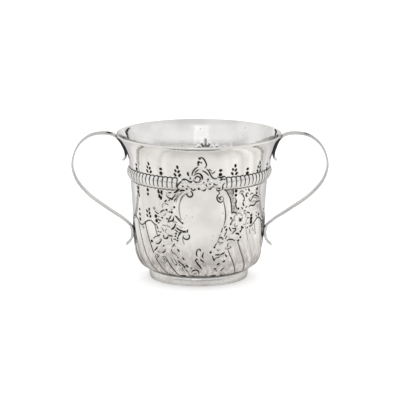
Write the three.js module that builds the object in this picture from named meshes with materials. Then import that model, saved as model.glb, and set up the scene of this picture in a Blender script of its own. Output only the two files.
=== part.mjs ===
// A two-handled silver porringer of the eighteenth century, in the four pieces that a silversmith
// solders together: the cup, raised from one sheet, with a bell mouth, a corded girdle and spiral
// flutes; the collet foot ring; and two scrolled strap handles.
// Millimetres, +Z up. The origin is the centre of the foot's resting face. The handles lie along X
// and the front of the cup faces -Y.
import * as THREE from "three";

// Driving dimensions of the cup. The lip is the sheet's own edge, hammered thicker.
const RIM_RADIUS = 50;
const RIM_HEIGHT = 88.5;
const SHEET = 0.9;
const LIP_THICKNESS = 1.3;
const LIP_FLARE = THREE.MathUtils.degToRad(-50);
const BASE_RADIUS = 29;
const BASE_HEIGHT = 5.6;
const BOWL_RADIUS = 38.9;
const BOWL_TOP = 20;
const NECK_RADIUS = 41.6;
const NECK_HEIGHT = 70;

// The spiral flutes, in pairs of one convex and one hollow, and their scalloped upper edge. The
// flutes leave that edge nearly upright and lean more as they go down.
const FLUTE_PAIRS = 14;
const TWIST_AT_TOP = THREE.MathUtils.degToRad(0.33);
const TWIST_GAIN = THREE.MathUtils.degToRad(0.0108);
const FLUTE_RISE = 0.4;
const FLUTE_DEPTH = 0.35;
const SCALLOP_HEIGHT = 37.9;
const SCALLOP_RISE = 2;
const SCALLOP_SHOULDER = 1.3;
const CHASED_LINE = 0.1;

// Where the flutes were set out by hand: their places, counted in pairs from one convex crest, and
// the degrees from the front. They are wider across the front, where the cartouche hides them.
const FLUTES_SET_OUT = [
  { pair: 0, degrees: -47.7 },
  { pair: 0.75, degrees: -29.1 },
  { pair: 2.25, degrees: 20 },
  { pair: 4, degrees: 63.5 },
  { pair: FLUTE_PAIRS, degrees: 312.3 },
];

// The girdle, a half-round moulding crossed by upright gadroons. They run from the right of the
// crest round the back to its left, and the moulding is plain under the crest.
const GADROONS = 75;
const GADROON_DEPTH = 0.45;
const GIRDLE_BOTTOM = 60.8;
const GIRDLE_TOP = 68.3;
const GIRDLE_RISE = 1.7;
const CREST_RIGHT = 22.9;
const CREST_LEFT = -17.5;

// The foot ring and the strap handles. A joint's gap is what the solder fills.
const FOOT_RADIUS = 30;
const FOOT_WALL = 1.7;
const FOOT_EDGE = 0.6;
const STRAP_WIDTH = 7.6;
const STRAP_END_WIDTH = 5.8;
const STRAP_THICKNESS = 1.25;
const TAPER_TOP = 60;
const LOWER_JOINT = 25.4;
const HAND_BENT_SPREAD = 0.021;
const JOINT_GAP = 0.3;

// How finely round things are divided.
const POINTS_PER_PAIR = 12;
const POINTS_PER_GADROON = 4;
const POINTS_UNDER_CREST = 9;
const PLAIN = 90;
const FOOT_SEGMENTS = 64;
const STRAP_STEPS = 40;

const FRONT = -Math.PI / 2;
const point = (radius, height) => new THREE.Vector2(radius, height);
const polar = (angle, radius) => point(radius * Math.cos(angle), radius * Math.sin(angle));

// The cup's outer side in three curves, from the seat of the foot to the lip.
const lipCentre = point(RIM_RADIUS - LIP_THICKNESS / 2, RIM_HEIGHT - LIP_THICKNESS / 2);
const bowlCurve = new THREE.CubicBezierCurve(
  point(BASE_RADIUS, BASE_HEIGHT),
  point(34.5, 5.9),
  point(38.4, 12),
  point(BOWL_RADIUS, BOWL_TOP),
);
const wallCurve = new THREE.CubicBezierCurve(
  point(BOWL_RADIUS, BOWL_TOP),
  point(39.7, 36),
  point(39.8, 52),
  point(NECK_RADIUS, NECK_HEIGHT),
);
const neckCurve = new THREE.CubicBezierCurve(
  point(NECK_RADIUS, NECK_HEIGHT),
  point(42.2, 77.5),
  point(45.1, 83.6),
  polar(LIP_FLARE, LIP_THICKNESS / 2).add(lipCentre),
);

// The radius of a curve at a height, found by halving, because every curve here only climbs.
function radiusAt(curve, height) {
  let low = 0;
  let high = 1;
  for (let step = 0; step < 30; step += 1) {
    const middle = (low + high) / 2;
    if (curve.getPoint(middle).y < height) low = middle;
    else high = middle;
  }
  return curve.getPoint(low).x;
}

// The point at a distance out from a curve, square to it.
function beside(curve, t, distance) {
  const along = curve.getTangent(t);
  return curve.getPoint(t).add(point(along.y, -along.x).multiplyScalar(distance));
}

// Going down the cup, the flutes move to the right of someone who faces it.
function twistAt(height) {
  const drop = Math.max(0, SCALLOP_HEIGHT - height);
  return drop * (TWIST_AT_TOP + TWIST_GAIN * drop);
}

// The angle round the cup of a place among the flutes.
function fluteAngle(pair) {
  const next = FLUTES_SET_OUT.findIndex((mark) => mark.pair > pair);
  const [before, after] = FLUTES_SET_OUT.slice(next - 1, next + 1);
  const share = (pair - before.pair) / (after.pair - before.pair);
  const degrees = THREE.MathUtils.lerp(before.degrees, after.degrees, share);
  return FRONT + THREE.MathUtils.degToRad(degrees);
}

// Stations are the places round the cup where a level has its points, in order, anticlockwise from
// above and from the first crest. A wave is 1 on a convex flute's crest, 0 on the chased line
// between flutes, and -1 in the middle of a hollow one.
const FIRST = fluteAngle(0);
const spread = (count, station) => Array.from({ length: count }, (_, i) => station(i / count));
const plainStations = spread(PLAIN, (share) => ({ angle: FIRST + 2 * Math.PI * share }));
const fluteStations = spread(POINTS_PER_PAIR * FLUTE_PAIRS, (share) => ({
  angle: fluteAngle(FLUTE_PAIRS * share),
  wave: Math.cos(2 * Math.PI * FLUTE_PAIRS * share),
}));

// On the girdle, a swell is 0 in a groove and 1 on a gadroon's back.
function girdleStations() {
  const last = POINTS_PER_GADROON * GADROONS;
  const gadrooned = Array.from({ length: last + 1 }, (_, i) => ({
    degrees: THREE.MathUtils.lerp(CREST_RIGHT, CREST_LEFT + 360, i / last),
    swell: Math.sqrt(Math.sin((Math.PI * (i % POINTS_PER_GADROON)) / POINTS_PER_GADROON)),
  }));
  const underCrest = Array.from({ length: POINTS_UNDER_CREST }, (_, i) => ({
    degrees: THREE.MathUtils.lerp(CREST_LEFT, CREST_RIGHT, (i + 1) / (POINTS_UNDER_CREST + 1)),
    swell: 1,
  }));
  const onwards = (degrees) => {
    const fromFirst = FRONT + THREE.MathUtils.degToRad(degrees) - FIRST;
    return FIRST + THREE.MathUtils.euclideanModulo(fromFirst, 2 * Math.PI);
  };
  return [...gadrooned, ...underCrest]
    .map(({ degrees, swell }) => ({ angle: onwards(degrees), swell }))
    .sort((a, b) => a.angle - b.angle);
}

function fluteRelief(wave) {
  const arch = Math.sqrt(Math.abs(wave));
  return wave > 0 ? FLUTE_RISE * arch : -FLUTE_DEPTH * arch;
}

// One level of the cup's skin. The levels turn with the flutes, so that edges run along them.
function level(stations, place) {
  return stations.map((station) => {
    const { x: radius, y: height } = place(station);
    const turned = polar(station.angle + twistAt(height), radius);
    return { at: new THREE.Vector3(turned.x, turned.y, height), angle: station.angle };
  });
}

const centre = (height) => [{ at: new THREE.Vector3(0, 0, height), angle: FIRST }];
const plainLevel = (at) => level(plainStations, () => at);

// A level across the flutes, with a share of their full relief.
const flutedLevel = (at, share) =>
  level(fluteStations, ({ wave }) => point(at.x + share * fluteRelief(wave), at.y));

// A level that follows the scalloped edge, high over each convex flute and low over each hollow.
const scallopLevel = (drop, inset, share) =>
  level(fluteStations, ({ wave }) => {
    const height = SCALLOP_HEIGHT + SCALLOP_RISE * wave - drop;
    return point(radiusAt(wallCurve, height) - inset + share * fluteRelief(wave), height);
  });

// A level across the girdle, at a share of its height.
function girdleLevel(share) {
  const height = THREE.MathUtils.lerp(GIRDLE_BOTTOM, GIRDLE_TOP, share);
  const moulding = radiusAt(wallCurve, height) + GIRDLE_RISE * Math.sqrt(Math.sin(Math.PI * share));
  return level(girdleStations(), ({ swell }) =>
    point(moulding - GADROON_DEPTH * (1 - swell), height),
  );
}

// The angle of a level's point, which may be its first one again, a whole turn on.
const angleOf = (points, i) =>
  points[i % points.length].angle + (i < points.length ? 0 : 2 * Math.PI);

// Closes levels into one skin. Neighbouring levels may have different numbers of points, and of two
// next points the one that comes first round the cup is joined first.
function skin(levels) {
  const starts = levels.map((_, k) =>
    levels.slice(0, k).reduce((total, points) => total + points.length, 0),
  );
  const faces = [];
  for (let k = 0; k + 1 < levels.length; k += 1) {
    const [from, to] = [levels[k], levels[k + 1]];
    const a = (i) => starts[k] + (i % from.length);
    const b = (j) => starts[k + 1] + (j % to.length);
    const [fromSteps, toSteps] = [from, to].map(({ length }) => (length === 1 ? 0 : length));
    let [i, j] = [0, 0];
    while (i < fromSteps || j < toSteps) {
      const fromIsNext = angleOf(from, i + 1) <= angleOf(to, j + 1);
      if (j === toSteps || (i < fromSteps && fromIsNext)) {
        faces.push(a(i), a(i + 1), b(j));
        i += 1;
      } else {
        faces.push(a(i), b(j + 1), b(j));
        j += 1;
      }
    }
  }
  const geometry = new THREE.BufferGeometry().setFromPoints(levels.flat().map(({ at }) => at));
  geometry.setIndex(faces);
  return geometry;
}

// The cup, from the middle of its underside up the outside, over the lip and down the inside.
function cupGeometry() {
  const bowl = [0.12, 0.3, 0.48, 0.66, 0.83, 1];
  const neck = [0.2, 0.4, 0.58, 0.74, 0.88, 1];
  const lip = [60, 120, 180].map((turn) =>
    polar(LIP_FLARE + THREE.MathUtils.degToRad(turn), LIP_THICKNESS / 2).add(lipCentre),
  );
  const neckInside = [0.86, 0.68, 0.48, 0.24].map((t) =>
    beside(neckCurve, t, -THREE.MathUtils.lerp(SHEET, LIP_THICKNESS, t ** 6)),
  );
  const girdleMiddle = (GIRDLE_BOTTOM + GIRDLE_TOP) / 2;
  const girdleInside = [
    point(radiusAt(wallCurve, GIRDLE_TOP) - SHEET, GIRDLE_TOP),
    point(radiusAt(wallCurve, girdleMiddle) - SHEET + GIRDLE_RISE / 2, girdleMiddle),
    point(radiusAt(wallCurve, GIRDLE_BOTTOM) - SHEET, GIRDLE_BOTTOM),
  ];
  const wallMiddle = (SCALLOP_HEIGHT + GIRDLE_BOTTOM) / 2;
  const floorHeight = BASE_HEIGHT + SHEET;
  return skin([
    centre(BASE_HEIGHT),
    plainLevel(point(BASE_RADIUS, BASE_HEIGHT)),
    ...bowl.map((t) => flutedLevel(bowlCurve.getPoint(t), Math.min(1, 2 * t))),
    flutedLevel(wallCurve.getPoint(0.2), 1),
    scallopLevel(SCALLOP_SHOULDER, 0, 1),
    scallopLevel(0, CHASED_LINE, 0),
    plainLevel(point(radiusAt(wallCurve, wallMiddle), wallMiddle)),
    plainLevel(point(radiusAt(wallCurve, GIRDLE_BOTTOM), GIRDLE_BOTTOM)),
    ...[0.08, 0.36, 0.64, 0.92].map(girdleLevel),
    plainLevel(point(radiusAt(wallCurve, GIRDLE_TOP), GIRDLE_TOP)),
    ...neck.map((t) => plainLevel(neckCurve.getPoint(t))),
    ...[...lip, ...neckInside, ...girdleInside].map((at) => plainLevel(at)),
    plainLevel(point(radiusAt(wallCurve, wallMiddle) - SHEET, wallMiddle)),
    scallopLevel(0, SHEET + CHASED_LINE, 0),
    scallopLevel(SCALLOP_SHOULDER, SHEET, 1),
    ...[1, 0.75, 0.5, 0.3].map((t) => flutedLevel(beside(bowlCurve, t, -SHEET), Math.min(1, 2 * t))),
    plainLevel(point(BASE_RADIUS, floorHeight)),
    centre(floorHeight),
  ]);
}

// The collet foot: a strip bent into a ring, with a softly swelling side and an eased lower edge.
function footGeometry() {
  const top = BASE_HEIGHT - JOINT_GAP;
  const inner = FOOT_RADIUS - FOOT_WALL;
  const side = new THREE.QuadraticBezierCurve(
    point(FOOT_RADIUS - 0.1, FOOT_EDGE),
    point(FOOT_RADIUS + 0.5, top / 2),
    point(FOOT_RADIUS - FOOT_EDGE, top),
  );
  const section = [
    point(inner, 0),
    point(FOOT_RADIUS - FOOT_EDGE, 0),
    ...side.getPoints(5),
    point(inner + 0.3, top),
  ];
  const ring = new THREE.LatheGeometry([...section, section[0]], FOOT_SEGMENTS);
  return ring.rotateX(Math.PI / 2);
}

// The handle's middle line in the XZ plane: a spur that flicks out from the neck, the strap laid up
// the neck, the finger loop, and the tail that curls out below the lower joint. Bending by hand
// leaves one loop spread a little wider than the other.
function handleLine(spread) {
  const offset = JOINT_GAP + STRAP_THICKNESS / 2;
  const lowerJoint = point(radiusAt(wallCurve, LOWER_JOINT) + FLUTE_RISE + offset, LOWER_JOINT);
  const loop = [
    point(52.3, 87.4),
    point(58.6, 88.3),
    point(66.6, 86.7),
    point(73.9, 80.4),
    point(77.4, 69.8),
    point(75.1, 60.3),
    point(67.6, 50.9),
    point(54.5, 41.2),
    point(45.6, 35.2),
  ].map((at) => point(at.x + spread * (at.x - lowerJoint.x), at.y));
  const line = [
    point(45.9, 71.7),
    point(44, 73.2),
    ...[0.34, 0.52, 0.7, 0.84].map((t) => beside(neckCurve, t, offset)),
    ...loop,
    point(41.8, 30.4),
    lowerJoint,
    point(41.9, 21.6),
    point(44.6, 19),
  ];
  const points = line.map((at) => new THREE.Vector3(at.x, 0, at.y));
  return new THREE.CatmullRomCurve3(points, false, "centripetal");
}

// A strap's section: x runs across its width and y through its thickness, from the flat side, which
// lies against the cup, to the crowned side.
function strapSection() {
  const half = STRAP_WIDTH / 2;
  const edge = STRAP_THICKNESS / 2;
  const corner = 0.5;
  const section = new THREE.Shape();
  section.moveTo(corner - half, -edge);
  section.lineTo(half - corner, -edge);
  section.quadraticCurveTo(half, -edge, half, 0);
  section.quadraticCurveTo(half - corner, edge, 0, edge);
  section.quadraticCurveTo(corner - half, edge, -half, 0);
  section.quadraticCurveTo(-half, -edge, corner - half, -edge);
  return section;
}

// A strap handle, swept along its middle line and narrowed towards its tail.
function handleGeometry(spread) {
  const line = handleLine(spread);
  const geometry = new THREE.ExtrudeGeometry(strapSection(), {
    steps: STRAP_STEPS,
    curveSegments: 3,
    extrudePath: line,
  });
  const tail = line.getPoint(1).z;
  const position = geometry.attributes.position;
  for (let i = 0; i < position.count; i += 1) {
    const above = THREE.MathUtils.clamp((position.getZ(i) - tail) / (TAPER_TOP - tail), 0, 1);
    const width = THREE.MathUtils.lerp(STRAP_END_WIDTH, STRAP_WIDTH, above);
    position.setY(i, (position.getY(i) * width) / STRAP_WIDTH);
  }
  return geometry;
}

function silver(name, geometry) {
  const material = new THREE.MeshStandardMaterial({
    color: 0xdcdad6,
    roughness: 0.22,
    metalness: 1,
  });
  const mesh = new THREE.Mesh(geometry, material);
  mesh.name = name;
  return mesh;
}

const porringer = new THREE.Group();
porringer.name = "porringer";
porringer.add(silver("cup_body", cupGeometry()));
porringer.add(silver("foot_ring", footGeometry()));

// The left handle is the right one turned half a turn about the cup's axis.
const rightHandle = silver("handle_right", handleGeometry(HAND_BENT_SPREAD));
const leftHandle = silver("handle_left", handleGeometry(-HAND_BENT_SPREAD));
leftHandle.rotation.z = Math.PI;
porringer.add(rightHandle, leftHandle);

export default porringer;
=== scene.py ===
"""The looks of a two-handled silver porringer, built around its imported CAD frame.

The cup is raised as a silversmith would: its section is spun round the axis, the sheet is divided
finely where the chaser worked, and the flutes, the girdle and the chasing are then struck into it.
Lengths below are in millimetres. The chasing is set out on the unrolled wall: s runs round the cup
from the middle of the front towards the viewer's right, measured at a radius of 40, and z is the
height over the table.
"""
import math

import bpy
import numpy as np
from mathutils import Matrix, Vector


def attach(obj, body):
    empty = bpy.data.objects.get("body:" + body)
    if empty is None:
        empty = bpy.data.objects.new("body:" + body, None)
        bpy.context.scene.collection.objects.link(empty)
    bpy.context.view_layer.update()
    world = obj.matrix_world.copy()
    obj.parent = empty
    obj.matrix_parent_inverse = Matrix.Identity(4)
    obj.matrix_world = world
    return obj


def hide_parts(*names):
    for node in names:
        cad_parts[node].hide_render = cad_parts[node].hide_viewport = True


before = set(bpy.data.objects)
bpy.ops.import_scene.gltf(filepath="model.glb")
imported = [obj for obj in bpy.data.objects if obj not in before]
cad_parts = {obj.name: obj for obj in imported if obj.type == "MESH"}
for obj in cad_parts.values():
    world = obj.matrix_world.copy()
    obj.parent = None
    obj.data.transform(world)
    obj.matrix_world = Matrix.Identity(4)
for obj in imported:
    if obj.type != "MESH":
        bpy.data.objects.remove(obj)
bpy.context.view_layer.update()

MM = 0.001

# The radius at which s is measured, and the whole way round there
WALL = 40.0
ROUND = 2 * math.pi * WALL

# The cup's section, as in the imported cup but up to 0.8 mm fuller from the wall to the neck, which
# bulges a little more on its right, as the photo's outline does.
SHEET = 0.9
LIP_THICKNESS = 1.3
RIM_RADIUS = 50.0
RIM_HEIGHT = 88.5
LIP_FLARE = -50.0
BASE_RADIUS = 29.0
BASE_HEIGHT = 5.6
NECK_HEIGHT = 70.0
BOWL = [(BASE_RADIUS, BASE_HEIGHT), (34.5, 5.9), (38.4, 12), (38.9, 20)]
NECK_RADIUS = 42.4
WALL_CURVE = [(38.9, 20), (40.3, 34), (40.6, 50), (NECK_RADIUS, NECK_HEIGHT)]
NECK_BULGE = 1.3
GIRDLE_BOTTOM = 60.8
GIRDLE_TOP = 68.3
GIRDLE_RISE = 1.8

# Points of the section on the flat underside, as on the floor over it, and round the lip
FLOOR_POINTS = 59
LIP_POINTS = 58

# A point of the section has a side: 1 outside, -1 inside and 0 on the lip. A side that is read
# between two points is wholly the one or the other only past this.
WHOLLY = 0.99

# The flutes. A place among them is counted in pairs from a convex crest, and the degrees are from
# the front. They were set out by hand, wider across the front, where the cartouche hides them.
FLUTE_PAIRS = [0, 0.75, 2.25, 4, 14]
FLUTE_DEGREES = [-47.7, -29.1, 20, 63.5, 312.3]
TWIST_AT_TOP = 0.33
TWIST_GAIN = 0.0108
FLUTE_RISE = 0.6
SCALLOP_HEIGHT = 37.9
SCALLOP_RISE = 2.0

# The gadroons of the girdle run from the right of the crest round the back to its left.
GADROONS = 75
GADROONS_FROM = 22.9
GADROONS_TO = 342.5
GADROON_DEPTH = 0.5


# Shapes in the plane

def bezier(points, count=400):
    """Points along a cubic curve."""
    t = np.linspace(0, 1, count)[:, None]
    a, b, c, d = (np.array(p, float) for p in points)
    return (1 - t) ** 3 * a + 3 * (1 - t) ** 2 * t * b + 3 * (1 - t) * t**2 * c + t**3 * d


def square_to(line):
    """The unit normals of a line of points, to the right of its direction."""
    along = np.gradient(line, axis=0)
    along /= np.linalg.norm(along, axis=1)[:, None]
    return np.stack([along[:, 1], -along[:, 0]], 1)


def smooth(points, step=0.2):
    """Points about a step apart along a centripetal Catmull-Rom curve through the given ones."""
    p = np.array(points, float)
    p = np.vstack([2 * p[0] - p[1], p, 2 * p[-1] - p[-2]])
    out = []
    for a, b, c, d in zip(p, p[1:], p[2:], p[3:]):
        ab, bc, cd = (max(np.linalg.norm(w), 1e-6) ** 0.5 for w in (b - a, c - b, d - c))
        leave = ((b - a) / ab - (c - a) / (ab + bc) + (c - b) / bc) * bc
        reach = ((c - b) / bc - (d - b) / (bc + cd) + (d - c) / cd) * bc
        count = max(2, int(np.linalg.norm(c - b) / step))
        t = np.linspace(0, 1, count, endpoint=False)[:, None]
        out.append(b + leave * t + (3 * (c - b) - 2 * leave - reach) * t**2
                   + (2 * (b - c) + leave + reach) * t**3)
    return np.vstack(out + [p[-2:-1]])


def ease(x):
    """A soft step from 0 to 1."""
    x = np.clip(x, 0, 1)
    return x * x * (3 - 2 * x)


# The cup's section and what is read from it

def section():
    """The section as a table: the arc length, the line in radius and height, its normals, and for
    each point the height of the outer wall there and the side."""
    lip_centre = np.array([RIM_RADIUS - LIP_THICKNESS / 2, RIM_HEIGHT - LIP_THICKNESS / 2])
    flare = math.radians(LIP_FLARE)
    lip_start = lip_centre + LIP_THICKNESS / 2 * np.array([math.cos(flare), math.sin(flare)])
    neck = bezier([(NECK_RADIUS, NECK_HEIGHT), (43, 77.5), (45.4, 83.6), lip_start])
    outer = np.vstack([bezier(BOWL), bezier(WALL_CURVE)[1:], neck[1:]])
    outer_normal = square_to(outer)
    share = ease((outer[:, 1] - NECK_HEIGHT) / (lip_start[1] - NECK_HEIGHT)) ** 3
    inner = outer - outer_normal * (SHEET + (LIP_THICKNESS - SHEET) * share)[:, None]
    turn = np.linspace(flare, flare + math.pi, LIP_POINTS + 2)[1:-1]
    around = np.stack([np.cos(turn), np.sin(turn)], 1)
    lip = lip_centre + LIP_THICKNESS / 2 * around
    floor = np.linspace(0, 1, FLOOR_POINTS + 1)[:-1, None]
    under = floor * outer[0]
    under[:, 1] = BASE_HEIGHT
    seat = floor[::-1] * inner[0]
    seat[:, 1] = BASE_HEIGHT + SHEET
    down = np.tile([0, -1.0], (len(under), 1))
    line = np.vstack([under, outer, lip, inner[::-1], seat])
    normal = np.vstack([down, outer_normal, around, -outer_normal[::-1], -down])
    height = np.concatenate([under[:, 1], outer[:, 1], lip[:, 1], outer[::-1, 1], under[:, 1]])
    side = np.concatenate([np.ones(len(under) + len(outer)), np.zeros(len(lip)),
                           -np.ones(len(inner) + len(seat))])
    step = np.linalg.norm(np.diff(line, axis=0), axis=1)
    arc = np.concatenate([[0], np.cumsum(step)])
    return {"arc": arc, "line": line, "normal": normal, "height": height, "side": side}


CUP = section()


def at_station(name, station):
    """A column of the cup's section at stations along it."""
    column = CUP[name]
    if column.ndim == 1:
        return np.interp(station, CUP["arc"], column)
    return np.stack([np.interp(station, CUP["arc"], c) for c in column.T], -1)


def station_of(height, side):
    """The station where the outer or inner wall is at a height."""
    on_side = (CUP["side"] == side) & (CUP["height"] > BASE_HEIGHT)
    order = np.argsort(CUP["height"][on_side])
    return np.interp(height, CUP["height"][on_side][order], CUP["arc"][on_side][order])


# Flutes and girdle

def twist(z):
    """How far the flutes have turned at a height, in degrees."""
    drop = np.maximum(0, SCALLOP_HEIGHT - z)
    return drop * (TWIST_AT_TOP + TWIST_GAIN * drop)


def flute_wave(s, z):
    """1 on a convex flute's crest, 0 on the line between two flutes, -1 in a hollow's middle."""
    degrees = np.degrees(s / WALL) - twist(z)
    turn = (degrees - FLUTE_DEGREES[0]) % 360 + FLUTE_DEGREES[0]
    return np.cos(2 * math.pi * np.interp(turn, FLUTE_DEGREES, FLUTE_PAIRS))


def flute_line(pair, z):
    """How far round the wall the line at a place among the flutes lies at a height."""
    degrees = np.interp(pair, FLUTE_PAIRS, FLUTE_DEGREES) + twist(np.asarray(z, float))
    return WALL * np.radians(degrees)


def scallop(s):
    """The height of the scalloped edge over the flutes."""
    return SCALLOP_HEIGHT + SCALLOP_RISE * flute_wave(s, SCALLOP_HEIGHT)


def flutes(s, z, bare):
    """The relief of the flutes, fading out where the ornament leaves the wall bare."""
    wave = flute_wave(s, z)
    below = ease((scallop(s) - z) / 2.2) * ease((z - BASE_HEIGHT) / 4)
    return FLUTE_RISE * np.sign(wave) * np.abs(wave) ** 0.8 * below * (1 - bare)


def gadroon_place(s):
    """Gadroons counted from the first one's groove, and whether there are gadroons here at all."""
    degrees = (np.degrees(s / WALL) - GADROONS_FROM) % 360
    count = degrees / (GADROONS_TO - GADROONS_FROM) * GADROONS
    return count, count <= GADROONS


def girdle(s, z):
    """The half-round moulding and its gadroons."""
    share = np.clip((z - GIRDLE_BOTTOM) / (GIRDLE_TOP - GIRDLE_BOTTOM), 0, 1)
    round_over = np.sin(math.pi * share) ** 0.7
    crest_here = ease((12.5 - np.abs(s - 1)) / 3.5)
    count, there = gadroon_place(s)
    back = np.sqrt(np.abs(np.sin(math.pi * count)))
    cut = np.where(there, GADROON_DEPTH * (1 - back), 0) * ease(4 * share) * ease(4 - 4 * share)
    return round_over * (GIRDLE_RISE - cut) * (1 - crest_here)


def neck_bulge(z):
    """How far out of round the raised neck stands on its right at a height."""
    return NECK_BULGE * ease((z - 58) / 13) * (1 - 0.7 * ease((z - 78) / 9))


def hand_wobble(s, z):
    """The slight unevenness that the raising hammer leaves, always inwards."""
    a = s / WALL
    return -0.05 + 0.03 * np.sin(3 * a + z / 17) + 0.02 * np.sin(7 * a - z / 11 + 2)


# Marks that the chaser's tools leave, and the band of painted shade in the crook over the foot. Each
# is a line of points with a radius at each point.

MARKS = []
RAISED = []

# Traced lines and punches are struck this much wider than they are given, so that they show
BOLDNESS = 1.5
PUNCH_BOLDNESS = 1.3


def mark(points, radius, depth, tone):
    """A struck line. Its tone is how dark the sulphide in it is; in the crook over the foot it is how
    dark the painted shade is.
    """
    radius = np.broadcast_to(np.asarray(radius, float), (len(points),))
    MARKS.append({"line": np.asarray(points, float), "radius": radius, "depth": depth,
                  "tone": tone})


def traced(points, width=0.6, depth=0.22, tone=0.8, thin_ends=0.5):
    """A line struck with a tracer, thinner at its ends."""
    line = smooth(points)
    t = np.linspace(-1, 1, len(line))
    mark(line, BOLDNESS * width / 2 * (1 - (1 - thin_ends) * np.abs(t) ** 3), depth, tone)


def punched(s, z, radius=0.8, lean=0, stretch=1.0, tone=1.0):
    """A dimple from a round or oval punch. It leans to the right by some degrees."""
    radius = PUNCH_BOLDNESS * radius
    reach = radius * (stretch - 1) + 1e-6
    way = np.array([math.sin(math.radians(lean)), math.cos(math.radians(lean))])
    centre = np.array([s, z], float)
    mark([centre - reach * way, centre + reach * way], radius, 0.32, tone)


def raised(points, radius, height):
    """A swelling pushed out from inside the cup: a line of points with a half-width at each."""
    line = smooth(points, 0.8) if len(points) > 2 else np.asarray(points, float)
    share = np.linspace(0, 1, len(line))
    wide = np.interp(share, np.linspace(0, 1, len(radius)), radius)
    RAISED.append({"line": line, "radius": wide, "depth": height})


def petal(s, z, lean, length, width, height=0.4):
    """A petal or leaf that starts at a place and leans to the right by some degrees."""
    way = np.array([math.sin(math.radians(lean)), math.cos(math.radians(lean))])
    share = np.array([0.12, 0.35, 0.6, 0.82])
    points = np.array([s, z]) + length * share[:, None] * way
    raised(points, width / 2 * np.array([0.45, 0.85, 1, 0.7]), height)


def leaves(*places):
    """Several petals or leaves, each with its place, lean, length, width and perhaps height."""
    for place in places:
        petal(*place)


def flower(s, z, reach, petals, turn, height=0.45):
    """An open flower: petals in a ring round a small boss."""
    for k in range(petals):
        petal(s, z, turn + 360 * k / petals, reach, 2.1 * reach * math.sin(math.pi / petals), height)
    raised([(s, z), (s + 0.01, z)], [0.2 * reach] * 2, height + 0.1)


# The lines between the flutes run between two heights. Those that the ornament at the front hides in
# part: a place among the flutes, the line's half width, its tone, and where it shows.
LINE_FOOT = 6.2
LINE_HEAD = 38.1
WHOLE_LINE = [(LINE_FOOT, LINE_HEAD)]
FRONT_LINES = [(13.25, 0.36, 0.55, WHOLE_LINE),
               (13.75, 0.66, 1.0, [(LINE_FOOT, 16.8), (20.4, LINE_HEAD)]),
               (0.25, 0.38, 0.9, [(LINE_FOOT, 17.3), (31.2, LINE_HEAD)]),
               (0.75, 0.34, 0.6, [(LINE_FOOT, 17)]), (1.25, 0.36, 0.8, [(LINE_FOOT, 8)]),
               (1.75, 0.36, 0.8, [(LINE_FOOT, 8)]), (2.25, 0.4, 0.95, [(LINE_FOOT, 22.9)]),
               (2.75, 0.4, 0.75, [(LINE_FOOT, 28.7)]), (3.25, 0.34, 0.4, [(27.4, 36)]),
               (3.25, 0.36, 0.6, [(11.8, 18.8)]), (3.75, 0.34, 0.5, [(30, LINE_HEAD)])]


def flute_marks():
    """The lines between the flutes."""
    beyond = [(half / 2 + 0.25, 0.4, 0.92, WHOLE_LINE) for half in range(8, 26)]
    for pair, radius, tone, shown in FRONT_LINES + beyond:
        for low, high in shown:
            z = np.linspace(low, high, 60)
            mark(np.stack([flute_line(pair, z), z], 1), radius, 0.3, tone)


# A line that goes round the back is struck in two runs, which meet at one place on the right. Seen
# from the left, that place is a whole round less.
MEETING = 69.3
MEETING_FROM_LEFT = -182.0


def girdle_marks():
    """The grooves between the gadroons, their scalloped top edge and the line under them."""
    width = (GADROONS_TO - GADROONS_FROM) / GADROONS
    for k in range(GADROONS + 1):
        s = WALL * math.radians(GADROONS_FROM + k * width)
        mark([(s, 62.3), (s, 67.4)], [0.3, 0.42], 0.0, 1.0)
        if k < GADROONS:
            t = np.linspace(0, 1, 9)
            across = s + WALL * math.radians(width) * t
            mark(np.stack([across, 67.75 + 0.8 * np.sin(math.pi * t) ** 0.6], 1), 0.34, 0.15, 1.0)
    for start, stop in [(MEETING_FROM_LEFT, -13.5), (16.5, MEETING)]:
        s = np.arange(start, stop, 0.5)
        mark(np.stack([s, 60.6 + 0.25 * np.sin(2.1 * s)], 1), 0.3, 0.15, 0.8)


def scallop_marks():
    """The line along the scalloped edge, all round but for the ornament at the front."""
    for start, stop in [(MEETING_FROM_LEFT, -33), (35, MEETING)]:
        s = np.arange(start, stop, 0.3)
        mark(np.stack([s, scallop(s)], 1), 0.44, 0.28, 0.95)


# The kinds of line that the tracers strike, from the heaviest down

HEAVY = {"width": 0.85, "tone": 1.0, "depth": 0.3, "thin_ends": 0.4}
FIRM = {"width": 0.62, "tone": 1.0, "depth": 0.25}
PLAIN = {"width": 0.55, "tone": 0.88}
FAINT = {"width": 0.5, "tone": 0.66, "depth": 0.16}
FINE = {"width": 0.36, "tone": 0.9, "depth": 0.14}


def struck(kind, *lines):
    """Several lines of one kind."""
    for points in lines:
        traced(points, **kind)


def dimples(*places):
    """Several round dimples, each with its place and radius."""
    for place in places:
        punched(*place)


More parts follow.
